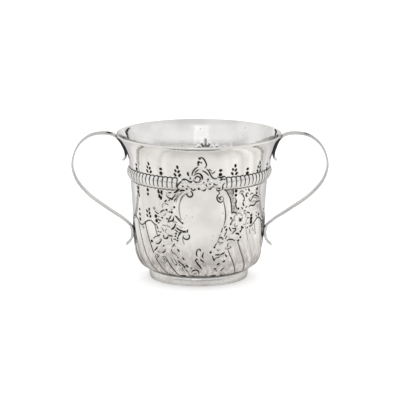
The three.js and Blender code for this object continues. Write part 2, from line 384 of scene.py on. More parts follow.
def crest():
    """The shell and scrolls that break the girdle at the front, under a leaf finial."""
    struck(
        HEAVY,
        [(0.3, 71.2), (1.3, 70.6), (2, 69.3), (2.2, 67.9)],
        [(-6, 72.2), (-6.2, 71.1), (-5.6, 69.9)],
        [(-8.2, 60.9), (-9.7, 60.9), (-11, 60.2)],
        [(-11, 61.8), (-12.4, 60.7), (-13.6, 59.6), (-14.8, 59.2)],
    )
    struck(
        FIRM,
        [(-0.4, 75.4), (-1.8, 74.5), (-2.9, 73.2), (-3.6, 71.6), (-3.8, 70.1)],
        [(0, 73.7), (-1.3, 72.9), (-2.2, 71.7)],
        [(-2.8, 70.1), (-1.6, 71.1), (0, 71.4), (1.3, 70.8), (2.1, 69.4), (2.2, 67.6)],
        [(-2.1, 68), (-1.8, 69), (-1, 69.6), (0.1, 69.5), (0.8, 68.8), (0.8, 67.7), (0.1, 67)],
        [(4.4, 74.3), (5.6, 72.9), (6.5, 71), (7.4, 69.4), (8.6, 68.3), (9.8, 68), (11, 68.4)],
        [(2, 73.1), (3.3, 72.5), (4.6, 71.4), (5.6, 70)],
        [(0.1, 79.9), (0.6, 81), (1.5, 81.4), (2.6, 80.6), (3.2, 79.6), (3.8, 78.3), (4.3, 76.9),
         (4.1, 75.6), (3.3, 74.7)],
        [(-0.2, 79), (-0.5, 77.9), (-0.2, 77), (-0.5, 76)],
        [(-9.7, 67.1), (-8.9, 67.7), (-7.8, 67.8), (-6.6, 67.2), (-5.5, 66.5), (-4.3, 66.3)],
        [(-10, 66.3), (-11, 65.4), (-11.7, 64.1), (-11.8, 62.9), (-11.1, 61.9)],
        [(-4.5, 62.5), (-3.9, 61.4), (-3, 61.1), (-2.2, 61.6), (-1.7, 62.3)],
        [(2.1, 61.2), (3, 60.8), (3.8, 61.4), (4.2, 62.4)],
        [(5.7, 62.1), (6.4, 61.6), (7.1, 62), (7.5, 62.9), (8.3, 63.3), (9, 62.8)],
        [(14.6, 65.5), (13.8, 64.6), (13.2, 63.4), (13.5, 62.3), (13.7, 61.6), (12.8, 60.9),
         (11.7, 60.4), (10.7, 60.8), (10.3, 61.6)],
        [(12.3, 67.2), (13, 67.6), (13.8, 67.3)],
        [(11, 69.2), (12, 68.6), (13.2, 68.5), (14.3, 69.1), (15.3, 68.8), (16, 68.2)],
    )
    struck(
        PLAIN,
        [(-3.3, 67.6), (-2.5, 66.7), (-1.3, 66.1), (0.2, 66.2), (1.4, 66.9)],
        [(-5, 69.2), (-4.7, 68.3), (-5.2, 67.5)],
        [(5.8, 73.9), (6.7, 73.2), (7.4, 72.9)],
        [(7.2, 71.8), (8, 71.4), (8.8, 71.9), (9.2, 72.7)],
        [(-9, 63.9), (-9.3, 63)],
        [(-6.8, 63.2), (-6, 63.5), (-5.4, 63.1)],
        [(4.3, 65.3), (4.3, 64.2), (4.9, 63.3)],
        [(5, 66.3), (5.5, 67.2)],
        [(0.5, 78.1), (1.4, 78.6), (1.7, 77.7)],
        [(10.4, 62.4), (11.4, 62.1), (12.2, 62.7)],
        [(8.6, 65.2), (9.6, 64.3), (10.9, 64.5)],
    )
    dimples((-4.4, 66.3, 0.5), (-10.2, 66.2, 0.45), (-6.9, 61.8, 0.5), (0.1, 62, 0.6),
            (5.4, 67.8, 0.45), (2.9, 65.7, 0.4), (6.4, 65, 0.4), (14.7, 67.5, 0.4),
            (-2.1, 68.3, 0.4), (0.5, 80.9, 0.6), (0, 78.6, 0.6), (-9, 63.7, 0.45))


def painted_shade_over_foot():
    """Painted shade in the crook between the bowl and the foot: marks with no depth, only a tone."""
    for s in np.arange(-124.0, 125.0, 3.7):
        lift = 0.3 * math.sin(1.7 * s)
        tone = 0.65 + 0.3 * math.sin(0.9 * s)
        mark([(s, 6.5 + lift), (s + 3, 6.7 - lift)], 0.55 + 0.25 * math.sin(2.3 * s), 0.0, tone)


def cartouche():
    """The scrolled frame round the bare panel, with volutes at its corners and a finial below."""
    struck(
        HEAVY,
        [(-1.9, 17.4), (-1.2, 16.5), (-0.5, 15.4), (0.4, 14.6), (1.2, 13.5), (1.9, 12.2)],
        [(-9.7, 35), (-8.8, 35.6), (-7.8, 35.1)],
    )
    struck(
        FIRM,
        [(12.4, 58.4), (11.3, 57.8), (10.8, 56.8), (10.9, 55.3), (11.6, 54.2), (12.7, 53.4),
         (13.8, 53.5), (14.7, 54.1)],
        [(13.7, 56.8), (12.9, 56.7), (12.4, 56), (12.6, 55.3), (13.3, 55.1)],
        [(15, 61.1), (16.3, 60), (17.4, 58.4), (18.3, 56.8), (19.2, 55.2), (19.6, 53.5),
         (19.9, 51.5), (20.3, 49), (20.6, 46.3)],
        [(-6.8, 59.4), (-6.9, 58.2), (-6, 57.2), (-5, 56.9), (-4, 57.4), (-3.5, 58.6),
         (-3.8, 59.8), (-4.7, 60.6)],
        [(-14.5, 45.2), (-13.3, 43.8), (-11.8, 42.3), (-10.7, 41.3), (-9.8, 40.6)],
        [(-9.5, 33.2), (-9.3, 31.9), (-8.4, 31), (-7.2, 30.8), (-6.2, 31.2), (-5.6, 32.2),
         (-5.7, 33.3), (-6.2, 34)],
        [(-6.5, 36.9), (-6.9, 35.9), (-6.7, 35.1)],
        [(-13.9, 37.8), (-12.7, 36.8), (-11.2, 36.2), (-9.9, 36.3)],
        [(-14.7, 36.4), (-13.6, 35.6), (-12.7, 35)],
        [(-17, 36.3), (-15.8, 36.9), (-14.9, 37.6)],
        [(-13.9, 39.8), (-14.7, 38.6), (-14.9, 37.6)],
        [(-0.2, 25), (-1, 23.9), (-1.4, 22.5), (-1.3, 21.1), (-0.9, 20.3)],
        [(0, 25), (0.8, 24.6), (1.3, 23.9)],
        [(2.8, 22.6), (2.6, 21.5), (2.3, 20.4), (2.8, 19.3)],
        [(0.9, 18.6), (1.8, 17.8), (2.6, 17.1), (3.3, 16.5)],
        [(-2, 17.8), (-1.3, 18.6), (-0.6, 18.2)],
        [(-4.6, 10), (-4.2, 11), (-3, 11.5), (-1.5, 11.7), (-0.4, 11.1), (0.1, 10), (0.1, 9)],
    )
    struck(
        PLAIN,
        [(11.8, 59.9), (12.2, 59.1), (12.4, 58.4)],
        [(14.9, 54.3), (15.3, 52.5), (15.8, 50.5), (16.2, 48), (16.5, 45.5), (16.4, 43),
         (16, 41), (15.3, 38.4)],
        [(14.7, 37.7), (14.3, 36.1), (13.6, 34.6)],
        [(11.2, 28.2), (10.4, 27.2), (9.9, 26)],
        [(-10.9, 35.9), (-11.9, 34.5), (-12.5, 32.9), (-12.9, 31.9)],
        [(-3.1, 9.4), (-2.3, 9.7), (-1.7, 9.2)],
    )
    struck(
        FAINT,
        [(-7.3, 59), (-8.6, 57.8), (-9.9, 56), (-10.7, 54)],
        [(-9.8, 59.6), (-11.4, 58), (-12.6, 55.8), (-13.4, 53.2)],
        [(-10.7, 54.5), (-11.4, 52.5), (-11.7, 50), (-11.6, 47), (-11, 44.5), (-10.3, 42.6)],
        [(13.4, 33.8), (12.8, 32), (12.1, 30), (11.4, 28.4)],
        [(14, 56.9), (14.6, 56.2), (14.8, 55.2), (14.6, 54.4)],
        [(-9.3, 33.6), (-9.9, 31.5), (-9.6, 29.5), (-8.8, 27.6)],
    )
    dimples((-9.8, 40.7, 0.5), (9.8, 25.8, 0.55), (1, 24.3, 0.45), (-2.1, 17.6, 0.45))


def right_flowers():
    """A large open flower with buds and leaves beside it, and a trail of leaves below."""
    struck(
        HEAVY,
        [(27.7, 37.2), (28.4, 36.5), (29.5, 35.8)],
        [(23.6, 33.2), (25, 33), (25.9, 32.6), (26.6, 31.9)],
        [(30.5, 56.5), (31.1, 55.4), (31.7, 54.7)],
        [(32.6, 59.6), (33, 58.6), (33.7, 57.9)],
    )
    struck(
        FIRM,
        [(27, 57.3), (28.3, 56.1), (29, 54.6), (28.9, 52.8)],
        [(28.3, 52), (28.6, 50.6), (29.4, 49.2)],
        [(20.9, 61), (21, 59.5), (21.2, 57.4)],
        [(22.8, 55), (23.6, 52.6), (23.1, 51.4), (23.4, 50), (24.2, 48.5)],
        [(20.5, 45.8), (21.6, 46.4), (22.8, 46.1), (23.8, 45.4)],
        [(33.4, 53.4), (33.9, 52), (34.5, 51.6), (35.4, 52.6), (36.1, 53.7), (37.2, 54.2),
         (38.6, 54.7), (40.2, 54.1), (41.5, 53.6), (42.8, 53.2), (44.2, 51.9), (45, 50.9)],
        [(33.8, 48), (34.8, 48.7), (36, 48.8), (37.6, 48.4), (39, 48.7), (40.4, 49.4),
         (42, 49.9), (44, 50), (46, 49.5)],
        [(27.5, 48.8), (28.1, 48.1), (28.6, 47.4)],
        [(30.8, 47.9), (31.3, 48.4), (32.1, 48.8)],
        [(27, 33.9), (27.9, 34.5), (28.5, 35.4), (28.4, 36.4), (27.9, 37)],
        [(28.1, 36), (29, 35.9), (30, 35.9)],
        [(32, 45.2), (33.2, 44.9), (34.3, 44.4), (34.9, 43.6)],
        [(19.1, 37.6), (19.5, 36.5), (20, 35.7), (20.3, 34.9)],
        [(21.2, 36.7), (22.2, 36.3), (23.5, 36.3), (23.8, 35.4), (22.4, 34.3), (21, 33.4)],
        [(17.9, 29), (19, 29.8), (20.5, 29.9), (21.8, 29.6), (22.8, 28.9)],
        [(18.9, 27.4), (18.7, 26.5), (18.4, 25.5)],
        [(12.7, 31.2), (13.5, 31.7), (14.4, 31.4), (15.2, 30.2)],
        [(8.6, 20.4), (9, 19.3), (9.4, 18.1), (9.8, 17)],
        [(10.3, 20.9), (11, 21.3), (11.7, 20.9), (12.4, 21.3), (13.2, 20.7)],
        [(13.6, 21), (14.6, 21.6), (15.4, 21.8), (16.3, 22.4)],
        [(16.7, 21.1), (17.6, 19.9)],
        [(10.3, 12.2), (11.1, 11.6), (11.8, 12)],
        [(15.5, 10.9), (16, 11.8), (16.8, 12.1)],
    )
    struck(
        PLAIN,
        [(25.6, 57.5), (26.2, 58.6), (27.5, 58.9), (28.8, 57.8)],
        [(30.7, 57), (31.1, 56.1), (31.6, 55)],
        [(30.9, 57.2), (32, 56.9), (32.9, 56.5)],
        [(30.1, 59.6), (30.9, 58.9)],
        [(34, 55.5), (35, 56.1), (36.2, 56.2), (37.3, 55.5)],
        [(29.2, 45.9), (30, 46.5), (31.3, 46.1)],
        [(20.3, 43), (21, 41.9), (20.7, 40.6), (20, 39.3)],
        [(26.8, 41.3), (26.2, 42.1), (25.5, 42.8)],
        [(26.9, 41.3), (27.6, 41.8), (28.4, 42.5)],
        [(26.7, 41.2), (26, 41.3), (25.2, 41.2)],
        [(26.8, 41.2), (26.5, 40.6), (26.2, 40)],
        [(26.9, 41.2), (27.4, 40.8), (27.9, 40.3)],
        [(32.3, 41), (33.4, 41.5), (34.5, 41.2)],
        [(15.7, 37.3), (16.3, 38.2), (17, 38)],
        [(17.4, 35.8), (17.2, 34.8), (16.6, 33.3), (16, 32)],
        [(17.9, 32.3), (17.3, 31.4), (16.8, 30.2)],
        [(17.7, 24.2), (19, 24), (20.2, 24.2)],
        [(20.1, 25.3), (20.9, 24.9), (21.2, 24.1)],
        [(9.9, 17), (10.2, 18.3), (10.9, 19), (12.2, 19.4), (13.4, 20.1)],
        [(22.8, 29.1), (23.7, 28.8)],
        [(41.2, 41.7), (42.8, 40.9)],
        [(11, 11.5), (10.9, 10.6)],
        [(33.4, 38.4), (33.9, 37.6)],
    )
    struck(
        FAINT,
        [(24, 44.8), (25.4, 45.6), (26.8, 45.1), (27.2, 43.8)],
        [(28.8, 44.6), (30.4, 44.9), (31.6, 43.9)],
        [(32.2, 42.3), (32.4, 40.7), (31.4, 39.4)],
        [(36.4, 53.2), (38.4, 53.3), (40.4, 52.6), (42.4, 51.7)],
        [(35.6, 50.6), (37.4, 51.2), (39.4, 51.1)],
        [(27.5, 44.3), (28.4, 43.5)],
        [(41.3, 43.4), (42.5, 43.1), (43.7, 43.2)],
        [(16.8, 25.2), (16.9, 24.2)],
        [(24, 45), (22.6, 44.2), (22.1, 42.6), (23, 41.2)],
        [(30.3, 45), (31.1, 43.6), (30.4, 42)],
        [(23.2, 39.9), (22.6, 38.6), (23.6, 37.5), (25, 38.1)],
        [(31.8, 39.9), (31.4, 38.5), (30, 37.8), (28.9, 38.5)],
        [(11.4, 28.4), (12.3, 29), (13.2, 28.3), (12.8, 27.3)],
        [(13.6, 28.8), (14.6, 28.2), (15.4, 28.8)],
        [(11.2, 24.3), (12.2, 23.8), (13.2, 24.2)],
        [(35.4, 34.4), (36.4, 32.4), (37.4, 30.6)],
        [(38.9, 34.6), (39.5, 33.2), (40.3, 32)],
    )
    dimples((26.7, 41.3, 0.75), (20.2, 43, 0.55), (20, 39.3, 0.5), (25.2, 48.3, 0.6),
            (27.3, 57.3, 0.5), (28.9, 52.9, 0.5), (17.2, 36.2, 0.65),
            (27.4, 33.9, 0.55), (27.6, 30.3, 0.6), (26.3, 28.6, 0.55),
            (33.2, 35.5, 0.5), (17.6, 19.8, 0.5), (7.4, 22.7, 0.6),
            (45, 41.7, 0.8), (12.3, 10, 0.35), (15.3, 10.8, 0.45))
    punched(16.1, 16.9, 0.5, lean=50, stretch=1.5)
    punched(12.6, 15.2, 0.5, lean=50, stretch=1.5)


def left_flowers():
    """Leaves and buds down the left of the frame, ending in a trail towards the foot."""
    struck(
        HEAVY,
        [(-16.9, 55.6), (-16.2, 55), (-15.4, 56)],
        [(-15.4, 43), (-15.8, 42), (-16.6, 41.6)],
        [(-20.9, 53.2), (-20.4, 53.4), (-19.8, 54.1)],
        [(-8.2, 14.8), (-7.3, 14.2), (-6.6, 13.6)],
    )
    struck(
        FIRM,
        [(-19.6, 57.6), (-18.8, 56.3), (-17.4, 55.5), (-16.3, 55.2), (-15.2, 56.2), (-14.3, 57.4),
         (-13.6, 58.4)],
        [(-18.3, 59), (-17.2, 58.9), (-16.4, 59.1)],
        [(-14.6, 53.9), (-14.2, 54.8), (-13.9, 55.6)],
        [(-21.4, 47.9), (-22.7, 47.4), (-23.7, 46.6), (-24.5, 45.9)],
        [(-28.2, 46.6), (-27.2, 45.8), (-26, 45.3), (-25.3, 45.3)],
        [(-18.4, 46.8), (-17.5, 47.3)],
        [(-23.3, 60), (-22.9, 58.6), (-22.5, 56.9)],
        [(-10, 35.8), (-10.9, 34.9), (-11.8, 33.8), (-12.8, 32)],
        [(-17, 36.6), (-16.1, 37.2), (-15.3, 37.8), (-14.6, 38.9), (-14.4, 40.2)],
        [(-26.3, 42), (-25, 41.4), (-23.7, 41)],
        [(-26, 39.2), (-25, 39.9)],
        [(-27.4, 37.4), (-27, 36.4), (-26.5, 35.6)],
        [(-16.7, 45.1), (-17.5, 43.8), (-18.3, 42.4), (-19, 40.7)],
        [(-15.2, 44.5), (-15.4, 43), (-16, 41.8), (-17.1, 41.6), (-18.4, 40.8)],
        [(-22.7, 30.9), (-21.5, 30.4), (-20.4, 30.5), (-19.6, 31.2), (-19.5, 32)],
        [(-19.4, 32.8), (-18.3, 32.3), (-17, 32.4), (-16.2, 32.1)],
        [(-24.7, 30), (-24.6, 28.7), (-25.3, 27.6), (-26.3, 26.7), (-27.5, 26.4), (-28.8, 26.3)],
        [(-27, 31), (-26, 31.6), (-25.1, 32.5)],
        [(-27.2, 24.6), (-28.2, 23.6), (-29.3, 22.4), (-30.3, 21.5)],
        [(-21.8, 23.6), (-22.1, 22.3), (-23.1, 21.5), (-24.1, 21.2)],
        [(-15, 27.6), (-15.9, 26.5), (-16.6, 25.6)],
        [(-13.5, 24.6), (-12.7, 24), (-12.3, 22.8)],
        [(-10.4, 19.3), (-9.7, 18.8), (-9.2, 17.9)],
        [(-13.4, 17.1), (-12.7, 16.1), (-11.5, 15.6), (-10.3, 15), (-9.6, 14.3), (-9, 13.3)],
    )
    struck(
        PLAIN,
        [(-30.8, 29), (-29.7, 30), (-28.3, 30.8), (-27.2, 30.9)],
        [(-25.5, 34), (-24.6, 33.8), (-23.9, 34.5)],
        [(-18.3, 53.9), (-17.2, 54.7)],
        [(-16.9, 31), (-17.2, 29.8), (-16.5, 28.6)],
        [(-15.6, 30.3), (-14.7, 30.6), (-14, 30)],
        [(-17.2, 24.2), (-17.1, 22.6), (-15.9, 21.5), (-14.5, 21.3)],
        [(-14, 19.6), (-13.2, 19.2), (-13.5, 18.3)],
        [(-28.1, 17.4), (-27.2, 18.3), (-26.5, 18.9)],
        [(-29.6, 19), (-28.7, 18.1)],
        [(-28.3, 19.8), (-27.3, 19.2)],
        [(-27, 21.9), (-26.4, 21.2)],
        [(-11.3, 12.9), (-10.5, 11.4), (-9.8, 10.1)],
        [(-8.4, 11.4), (-7.3, 10.4)],
        [(-13, 14.6), (-12, 13.4)],
    )
    struck(
        FINE,
        [(-24.8, 17.2), (-24.4, 18.4), (-23.2, 18.9), (-21.8, 18.5), (-21, 17), (-21.5, 15.7),
         (-22.9, 15), (-24.2, 15.5), (-24.8, 17.1)],
        [(-24, 17.3), (-23.2, 18), (-22.2, 17.5), (-22.2, 16.5), (-22.9, 16.1)],
        [(-23.4, 17), (-22.8, 17)],
    )
    struck(
        FAINT,
        [(-18.6, 18.8), (-17.2, 16.2), (-15.8, 13.6)],
        [(-16.4, 18.4), (-15.2, 16.4), (-14.1, 14.6)],
        [(-13, 12.6), (-11.9, 10.8), (-11, 9)],
        [(-22.9, 38.4), (-21.4, 38.7), (-20.2, 38)],
        [(-17, 48.7), (-15.8, 49)],
        [(-20.9, 51.5), (-19.6, 51.8), (-18.4, 51.2)],
        [(-13.2, 45), (-12.1, 43.7), (-10.8, 42.6)],
        [(-12.2, 59.2), (-12.9, 57.2), (-13.3, 54.6)],
        [(-9.7, 57.6), (-10.6, 55.4), (-11.1, 52.6)],
        [(-21.8, 52), (-22.6, 50.7), (-22.5, 49.2)],
        [(-19.9, 46.4), (-20.8, 45.2), (-22.2, 44.5)],
        [(-27.4, 44.2), (-26, 43.5), (-24.6, 43.4)],
        [(-19.9, 39.2), (-18.9, 38.2), (-17.6, 37.8)],
        [(-15.6, 40.9), (-14.3, 41.3), (-13.2, 40.8)],
        [(-19.6, 36.6), (-20.8, 35.5), (-20.5, 34)],
        [(-24, 36.9), (-22.7, 35.8), (-22.4, 34.5)],
    )
    dimples((-16.4, 47, 0.6), (-19.8, 48.2, 0.55), (-14.7, 50.2, 0.6),
            (-22.8, 43.1, 0.5), (-19.5, 42.8, 0.5), (-23.3, 54.9, 0.5),
            (-14, 34, 0.55), (-14.4, 32.4, 0.5), (-13, 31.3, 0.5), (-13.1, 29.8, 0.5),
            (-22.5, 31.8, 0.5), (-19.9, 30.9, 0.55), (-32, 27.3, 0.75),
            (-22.8, 25.6, 0.5), (-9.1, 13.4, 0.55), (-4.8, 13, 0.4),
            (-15, 14.1, 0.5), (-14.5, 20.5, 0.35), (-26.4, 34.1, 0.4))
    punched(-28.8, 48.1, 0.75, tone=0.55)


def ear(s, z):
    """An ear of five leaf-shaped punches over a wall's punched border."""
    for aside, up, radius, lean, stretch in [
            (0.5, 4.9, 0.58, -10, 1.6), (-0.8, 2.7, 0.52, -20, 1.5), (1.1, 2.2, 0.56, 25, 1.5),
            (-1.1, 0.2, 0.55, -35, 1.7), (1.6, 0, 0.6, 38, 1.5)]:
        punched(s + aside, z + up, radius, lean, stretch)


def two_dots(s, z, large=0.92, up=2.6):
    """A large dot, and a smaller one over it or under it."""
    punched(s, z, large)
    punched(s, z + up, 0.75)


def back_spray():
    """A spray over the girdle at the back, seen from inside as a row of bumps behind the front lip."""
    middle = 121.6
    for lean, aside, z, stretch in [(0, 0, 74.6, 3.4), (-28, -1.8, 73, 2), (28, 1.8, 73, 2),
                                    (-60, -3.6, 71.5, 1.7), (60, 3.6, 71.5, 1.7)]:
        punched(middle + aside, z, 0.5, lean, stretch)
    for step in range(-8, 3):
        if abs(step) > 1:
            turn = 40 if step > 0 else -40
            punched(middle + 2.2 * step, 71 + 0.9 * (step % 2), 0.45, turn, 1.5)


def punched_borders():
    """Dots and ears over the girdle, drops below it, and beads over the flutes, all round."""
    for s, z in [(12.5, 70.3), (30.2, 69.5), (50.2, 69), (-22.6, 70.3), (-43.3, 69.9)]:
        two_dots(s, z)
    for s, z in [(20.9, 70.2), (39.9, 69.3), (-12.6, 70), (-31.6, 70.2)]:
        ear(s, z)
    for s, z in [(-33.5, 58.7), (23, 59.4), (41, 58.1)]:
        two_dots(s, z, 0.85, -2.6)
    for lean, s, z in [(-12, -25, 58.8), (0, -24.5, 56.1), (15, -22.9, 58.6), (10, -23.4, 55.1),
                       (-60, -43.3, 58.5), (60, -43.8, 55.9), (0, -43, 53.9)]:
        punched(s, z, 0.66, lean, 1.5)
    for s, z, pitch, size in [(-43.3, 39, 3.05, 1), (36.4, 38.4, 2.1, 1.15)]:
        for step, radius in enumerate((0.92, 0.85, 0.7)):
            punched(s, z + step * pitch, size * radius)
    punched(-41, 34.2, 0.8, tone=0.55)
    traced([(-33.2, 40.2), (-31.4, 39.8), (-30, 38.8), (-28.8, 38.2), (-27.4, 38)], 0.62, tone=1.0)
    for s, z in [(-27.3, 40.6), (-27.8, 43.3)]:
        punched(s, z, 0.92)
    for s, z, lean in [(-33.2, 46.8, 20), (-35.3, 45.4, -35), (-33, 44.4, 30), (-35.3, 42.7, -35),
                       (-32.4, 42.5, 40)]:
        punched(s, z, 0.58, lean, 1.5)


def border_round_the_back():
    """The punched border goes on round the sides and the back, at the same spacing."""
    for k in range(7):
        s = 60 + 20 * k
        if k == 3:
            back_spray()
        elif k not in (2, 4):
            ear(s, 69.9)
        if k not in (2, 3):
            two_dots(s + 10, 69.6)
    for k in range(9):
        two_dots(59.0 + 18.6 * k, 58.3, 0.85, -2.6)
    for half in range(5, 25):
        s = float(flute_line(half / 2, SCALLOP_HEIGHT))
        if s > 50 and half % 2:
            for up, radius in [(0, 0.9), (2.2, 0.85), (4.5, 0.7)]:
                punched(s, 38.6 + up, radius)
        elif s > 50:
            ear(s, 42.4)


def raised_work():
    """The swellings under the traced lines: scrolls, shells, petals, buds and leaves."""
    # The crest: its finial, the volute, the stems beside it and the shell along the girdle.
    raised([(1.2, 75.5), (1.8, 77.5), (1.6, 79.8)], [1.5, 2.1, 1.1], 0.5)
    raised([(-0.2, 68), (0.2, 68.2)], [2.4, 2.4], 0.5)
    raised([(-3, 70), (-2.6, 72), (-0.8, 74.2)], [0.8, 0.9, 0.7], 0.35)
    raised([(4, 74), (5.2, 71.8), (6.8, 69.6), (9.5, 68)], [0.8, 1, 1, 0.7], 0.4)
    raised([(12, 68), (14, 68.2)], [0.6, 0.5], 0.3)
    leaves((-8, 62.6, -10, 4.6, 3.6, 1.1), (-4.9, 62.4, -6, 4, 3.2, 1.1), (-1.9, 62, 0, 4, 3, 1.1),
           (1.1, 61.8, 2, 4.2, 3.2, 1.1), (4, 62, 8, 3.8, 2.8, 1.1), (7, 62.6, 12, 4.4, 3.4, 1.1),
           (10.6, 62.4, 15, 5, 3.8, 1.1), (-10.8, 62, -25, 3.8, 2.6, 1.1),
           (12.6, 61, 10, 3.2, 2.6, 1.1))
    # The scrolled frame round the bare panel.
    raised([(13.3, 56.2), (13.4, 56.1)], [1.9, 1.9], 0.45)
    raised([(15.9, 59.6), (17.2, 56.5), (17.8, 53), (18.3, 49), (18.4, 45), (17.7, 41),
            (16.3, 37.5)], [0.8, 1.5, 1.9, 1.9, 1.8, 1.4, 0.8], 0.5)
    raised([(-5.2, 58.9), (-5.1, 58.8)], [1.6, 1.6], 0.4)
    raised([(-8.3, 59.6), (-10.5, 57.6), (-12.2, 54.5), (-13, 51), (-13.1, 47), (-12.3, 43.6)],
           [0.7, 1.2, 1.5, 1.5, 1.3, 0.6], 0.45)
    raised([(-13, 38.4), (-10.5, 37), (-8, 36.6)], [0.6, 0.9, 0.8], 0.35)
    raised([(-7.6, 32.6), (-7.5, 32.7)], [1.8, 1.8], 0.45)
    raised([(-11, 33.5), (-11.3, 30.5), (-10.3, 27)], [0.7, 1, 0.6], 0.3)
    raised([(0.8, 20.5), (0.9, 23)], [1.4, 1], 0.4)
    raised([(0.6, 18), (0.2, 16), (2, 13)], [0.8, 1, 0.7], 0.35)
    raised([(-2.2, 9.2), (-2, 9.3)], [2, 2], 0.35)
    # The flowers on the right.
    flower(26.8, 41.2, 5.6, 6, 12)
    leaves((29.6, 49, -8, 7, 2.4), (33.2, 48.6, 24, 6.5, 3.4), (35.2, 50.4, 72, 7.5, 3.2),
           (36, 47.8, 95, 7, 2.6, 0.35), (30.2, 47, -150, 3.4, 2.2, 0.3),
           (26.5, 52.5, 10, 5.6, 2, 0.35), (22.5, 31.4, -70, 3.8, 2.3), (22.5, 31.4, -20, 3.8, 2.3),
           (22.5, 31.4, 40, 3.8, 2.3), (22.5, 31.4, 95, 3.8, 2.3), (22, 31.6, 150, 3.2, 2.2, 0.35),
           (22, 31.6, 205, 3.2, 2.2, 0.35), (16.4, 34, 10, 4, 2, 0.35),
           (14, 30.6, -35, 3, 1.8, 0.3), (18, 26.8, 165, 3, 1.7, 0.3),
           (12.6, 20.4, 75, 4, 1.8, 0.35), (10, 18.8, 20, 3.4, 1.6, 0.3),
           (14.6, 18.2, 120, 3.2, 1.6, 0.3), (13.2, 13.6, 60, 3, 1.5, 0.3))
    # The flowers on the left.
    flower(-21.3, 40.8, 5.4, 5, 20)
    leaves((-17.6, 54.8, -35, 5, 3), (-16.4, 54.6, 30, 5, 2.8), (-18.6, 53, -100, 3.2, 2),
           (-17.4, 49.8, 25, 3.6, 2.2, 0.35), (-17, 47.6, 170, 3, 2, 0.35),
           (-25.2, 44.6, -50, 4.6, 2.4), (-18.6, 33.6, -60, 4, 2.2, 0.35),
           (-17.6, 33.4, 60, 4, 2.2, 0.35), (-23.8, 32.8, 10, 3.4, 2, 0.3))
    raised([(-27.5, 28.6), (-27.4, 28.7)], [2.6, 2.6], 0.5)
    raised([(-25.6, 23.2), (-25.5, 23.3)], [2.7, 2.7], 0.5)
    raised([(-23, 17), (-22.9, 17.1)], [1.4, 1.4], 0.35)
    flower(-15.4, 23.6, 2.6, 5, 0, 0.35)
    leaves((-15.6, 29.6, 0, 3, 1.8, 0.3), (-28, 20.4, 200, 3.6, 2.2, 0.35),
           (-11.4, 17.6, 130, 4, 1.8, 0.3), (-11.2, 12.6, 140, 3.4, 1.7, 0.3),
           (-14, 18.6, 190, 3, 1.6, 0.3), (-7, 14.6, 120, 3, 1.4, 0.3))


for work in (flute_marks, girdle_marks, raised_work, scallop_marks, painted_shade_over_foot, crest, cartouche,
             right_flowers, left_flowers, punched_borders, border_round_the_back):
    work()


# How far from a struck line, and from a swelling's line, the work is looked for
MARK_REACH = 1.6
SWELL_REACH = 3.2


def distances(s, z, strokes, reach):
    """For each stroke, the places near it with their distance from its line and its width there."""
    for one in strokes:
        line, radius = one["line"], one["radius"]
        (low_s, low_z), (high_s, high_z) = line.min(0) - reach, line.max(0) + reach
        middle = (low_s + high_s) / 2
        across = (s - middle + ROUND / 2) % ROUND - ROUND / 2
        near = np.nonzero((np.abs(across) < (high_s - low_s) / 2) & (z > low_z) & (z < high_z))[0]
        if not len(near):
            continue
        point = np.stack([across[near] + middle, z[near]], 1)
        best = np.full(len(near), 1e9)
        width = np.zeros(len(near))
        for a, b, ra, rb in zip(line, line[1:], radius, radius[1:]):
            edge = b - a
            t = np.clip((point - a) @ edge / max(edge @ edge, 1e-12), 0, 1)
            away = np.linalg.norm(point - a - t[:, None] * edge, axis=1)
            size = ra + (rb - ra) * t
            closer = away - size < best - width
            best = np.where(closer, away, best)
            width = np.where(closer, size, width)
        yield one, near, best, width


def strike(s, z):
    """The signed distance to the nearest mark, the marks' depth, and the nearest one's tone."""
    distance = np.full(len(s), MARK_REACH)
    relief = np.zeros(len(s))
    tone = np.zeros(len(s))
    for one, near, away, width in distances(s, z, MARKS, MARK_REACH):
        signed = away - width
        nearer = signed < distance[near]
        distance[near[nearer]] = signed[nearer]
        tone[near[nearer]] = one["tone"]
        bowl = np.clip(1 - (away / np.maximum(width, 1e-3) / 1.25) ** 2, 0, 1) ** 2
        relief[near] = np.minimum(relief[near], -one["depth"] * bowl)
    return distance, relief, tone


def swell(s, z):
    """How far the raised work stands out."""
    relief = np.zeros(len(s))
    for one, near, away, width in distances(s, z, RAISED, SWELL_REACH):
        dome = np.clip(1 - (away / width) ** 2, 0, 1) ** 0.75
        relief[near] = np.maximum(relief[near], one["depth"] * dome)
    return relief


# The ground beside the frame that the chaser matted with a fine point
MATTED = [(16, 61), (21, 60), (21.4, 57), (23.7, 53.5), (23, 51.5), (24.5, 48), (24.3, 45.3),
          (22, 46.3), (20.7, 46), (20.4, 49), (19.8, 53), (18.6, 57)]


def matted(s, z):
    """1 inside the matted ground, easing to 0 over its edge."""
    outline = np.array(MATTED, float)
    inside = np.zeros(len(s), bool)
    edge = np.full(len(s), 9.0)
    for (s0, z0), (s1, z1) in zip(outline, np.roll(outline, -1, 0)):
        crosses = (z0 > z) != (z1 > z)
        with np.errstate(divide="ignore", invalid="ignore"):
            at = s0 + (z - z0) * (s1 - s0) / (z1 - z0)
        inside ^= crosses & (s < at)
        way = np.array([s1 - s0, z1 - z0])
        t = np.clip(((s - s0) * way[0] + (z - z0) * way[1]) / (way @ way), 0, 1)
        edge = np.minimum(edge, np.hypot(s - s0 - t * way[0], z - z0 - t * way[1]))
    return ease(0.5 + np.where(inside, edge, -edge) / 0.8)


# Middle and half size of each patch where the cartouche and the flowers leave no flutes
BARE = [(0, 38, 14, 25), (-23, 37, 10, 17), (26, 41, 11, 13)]

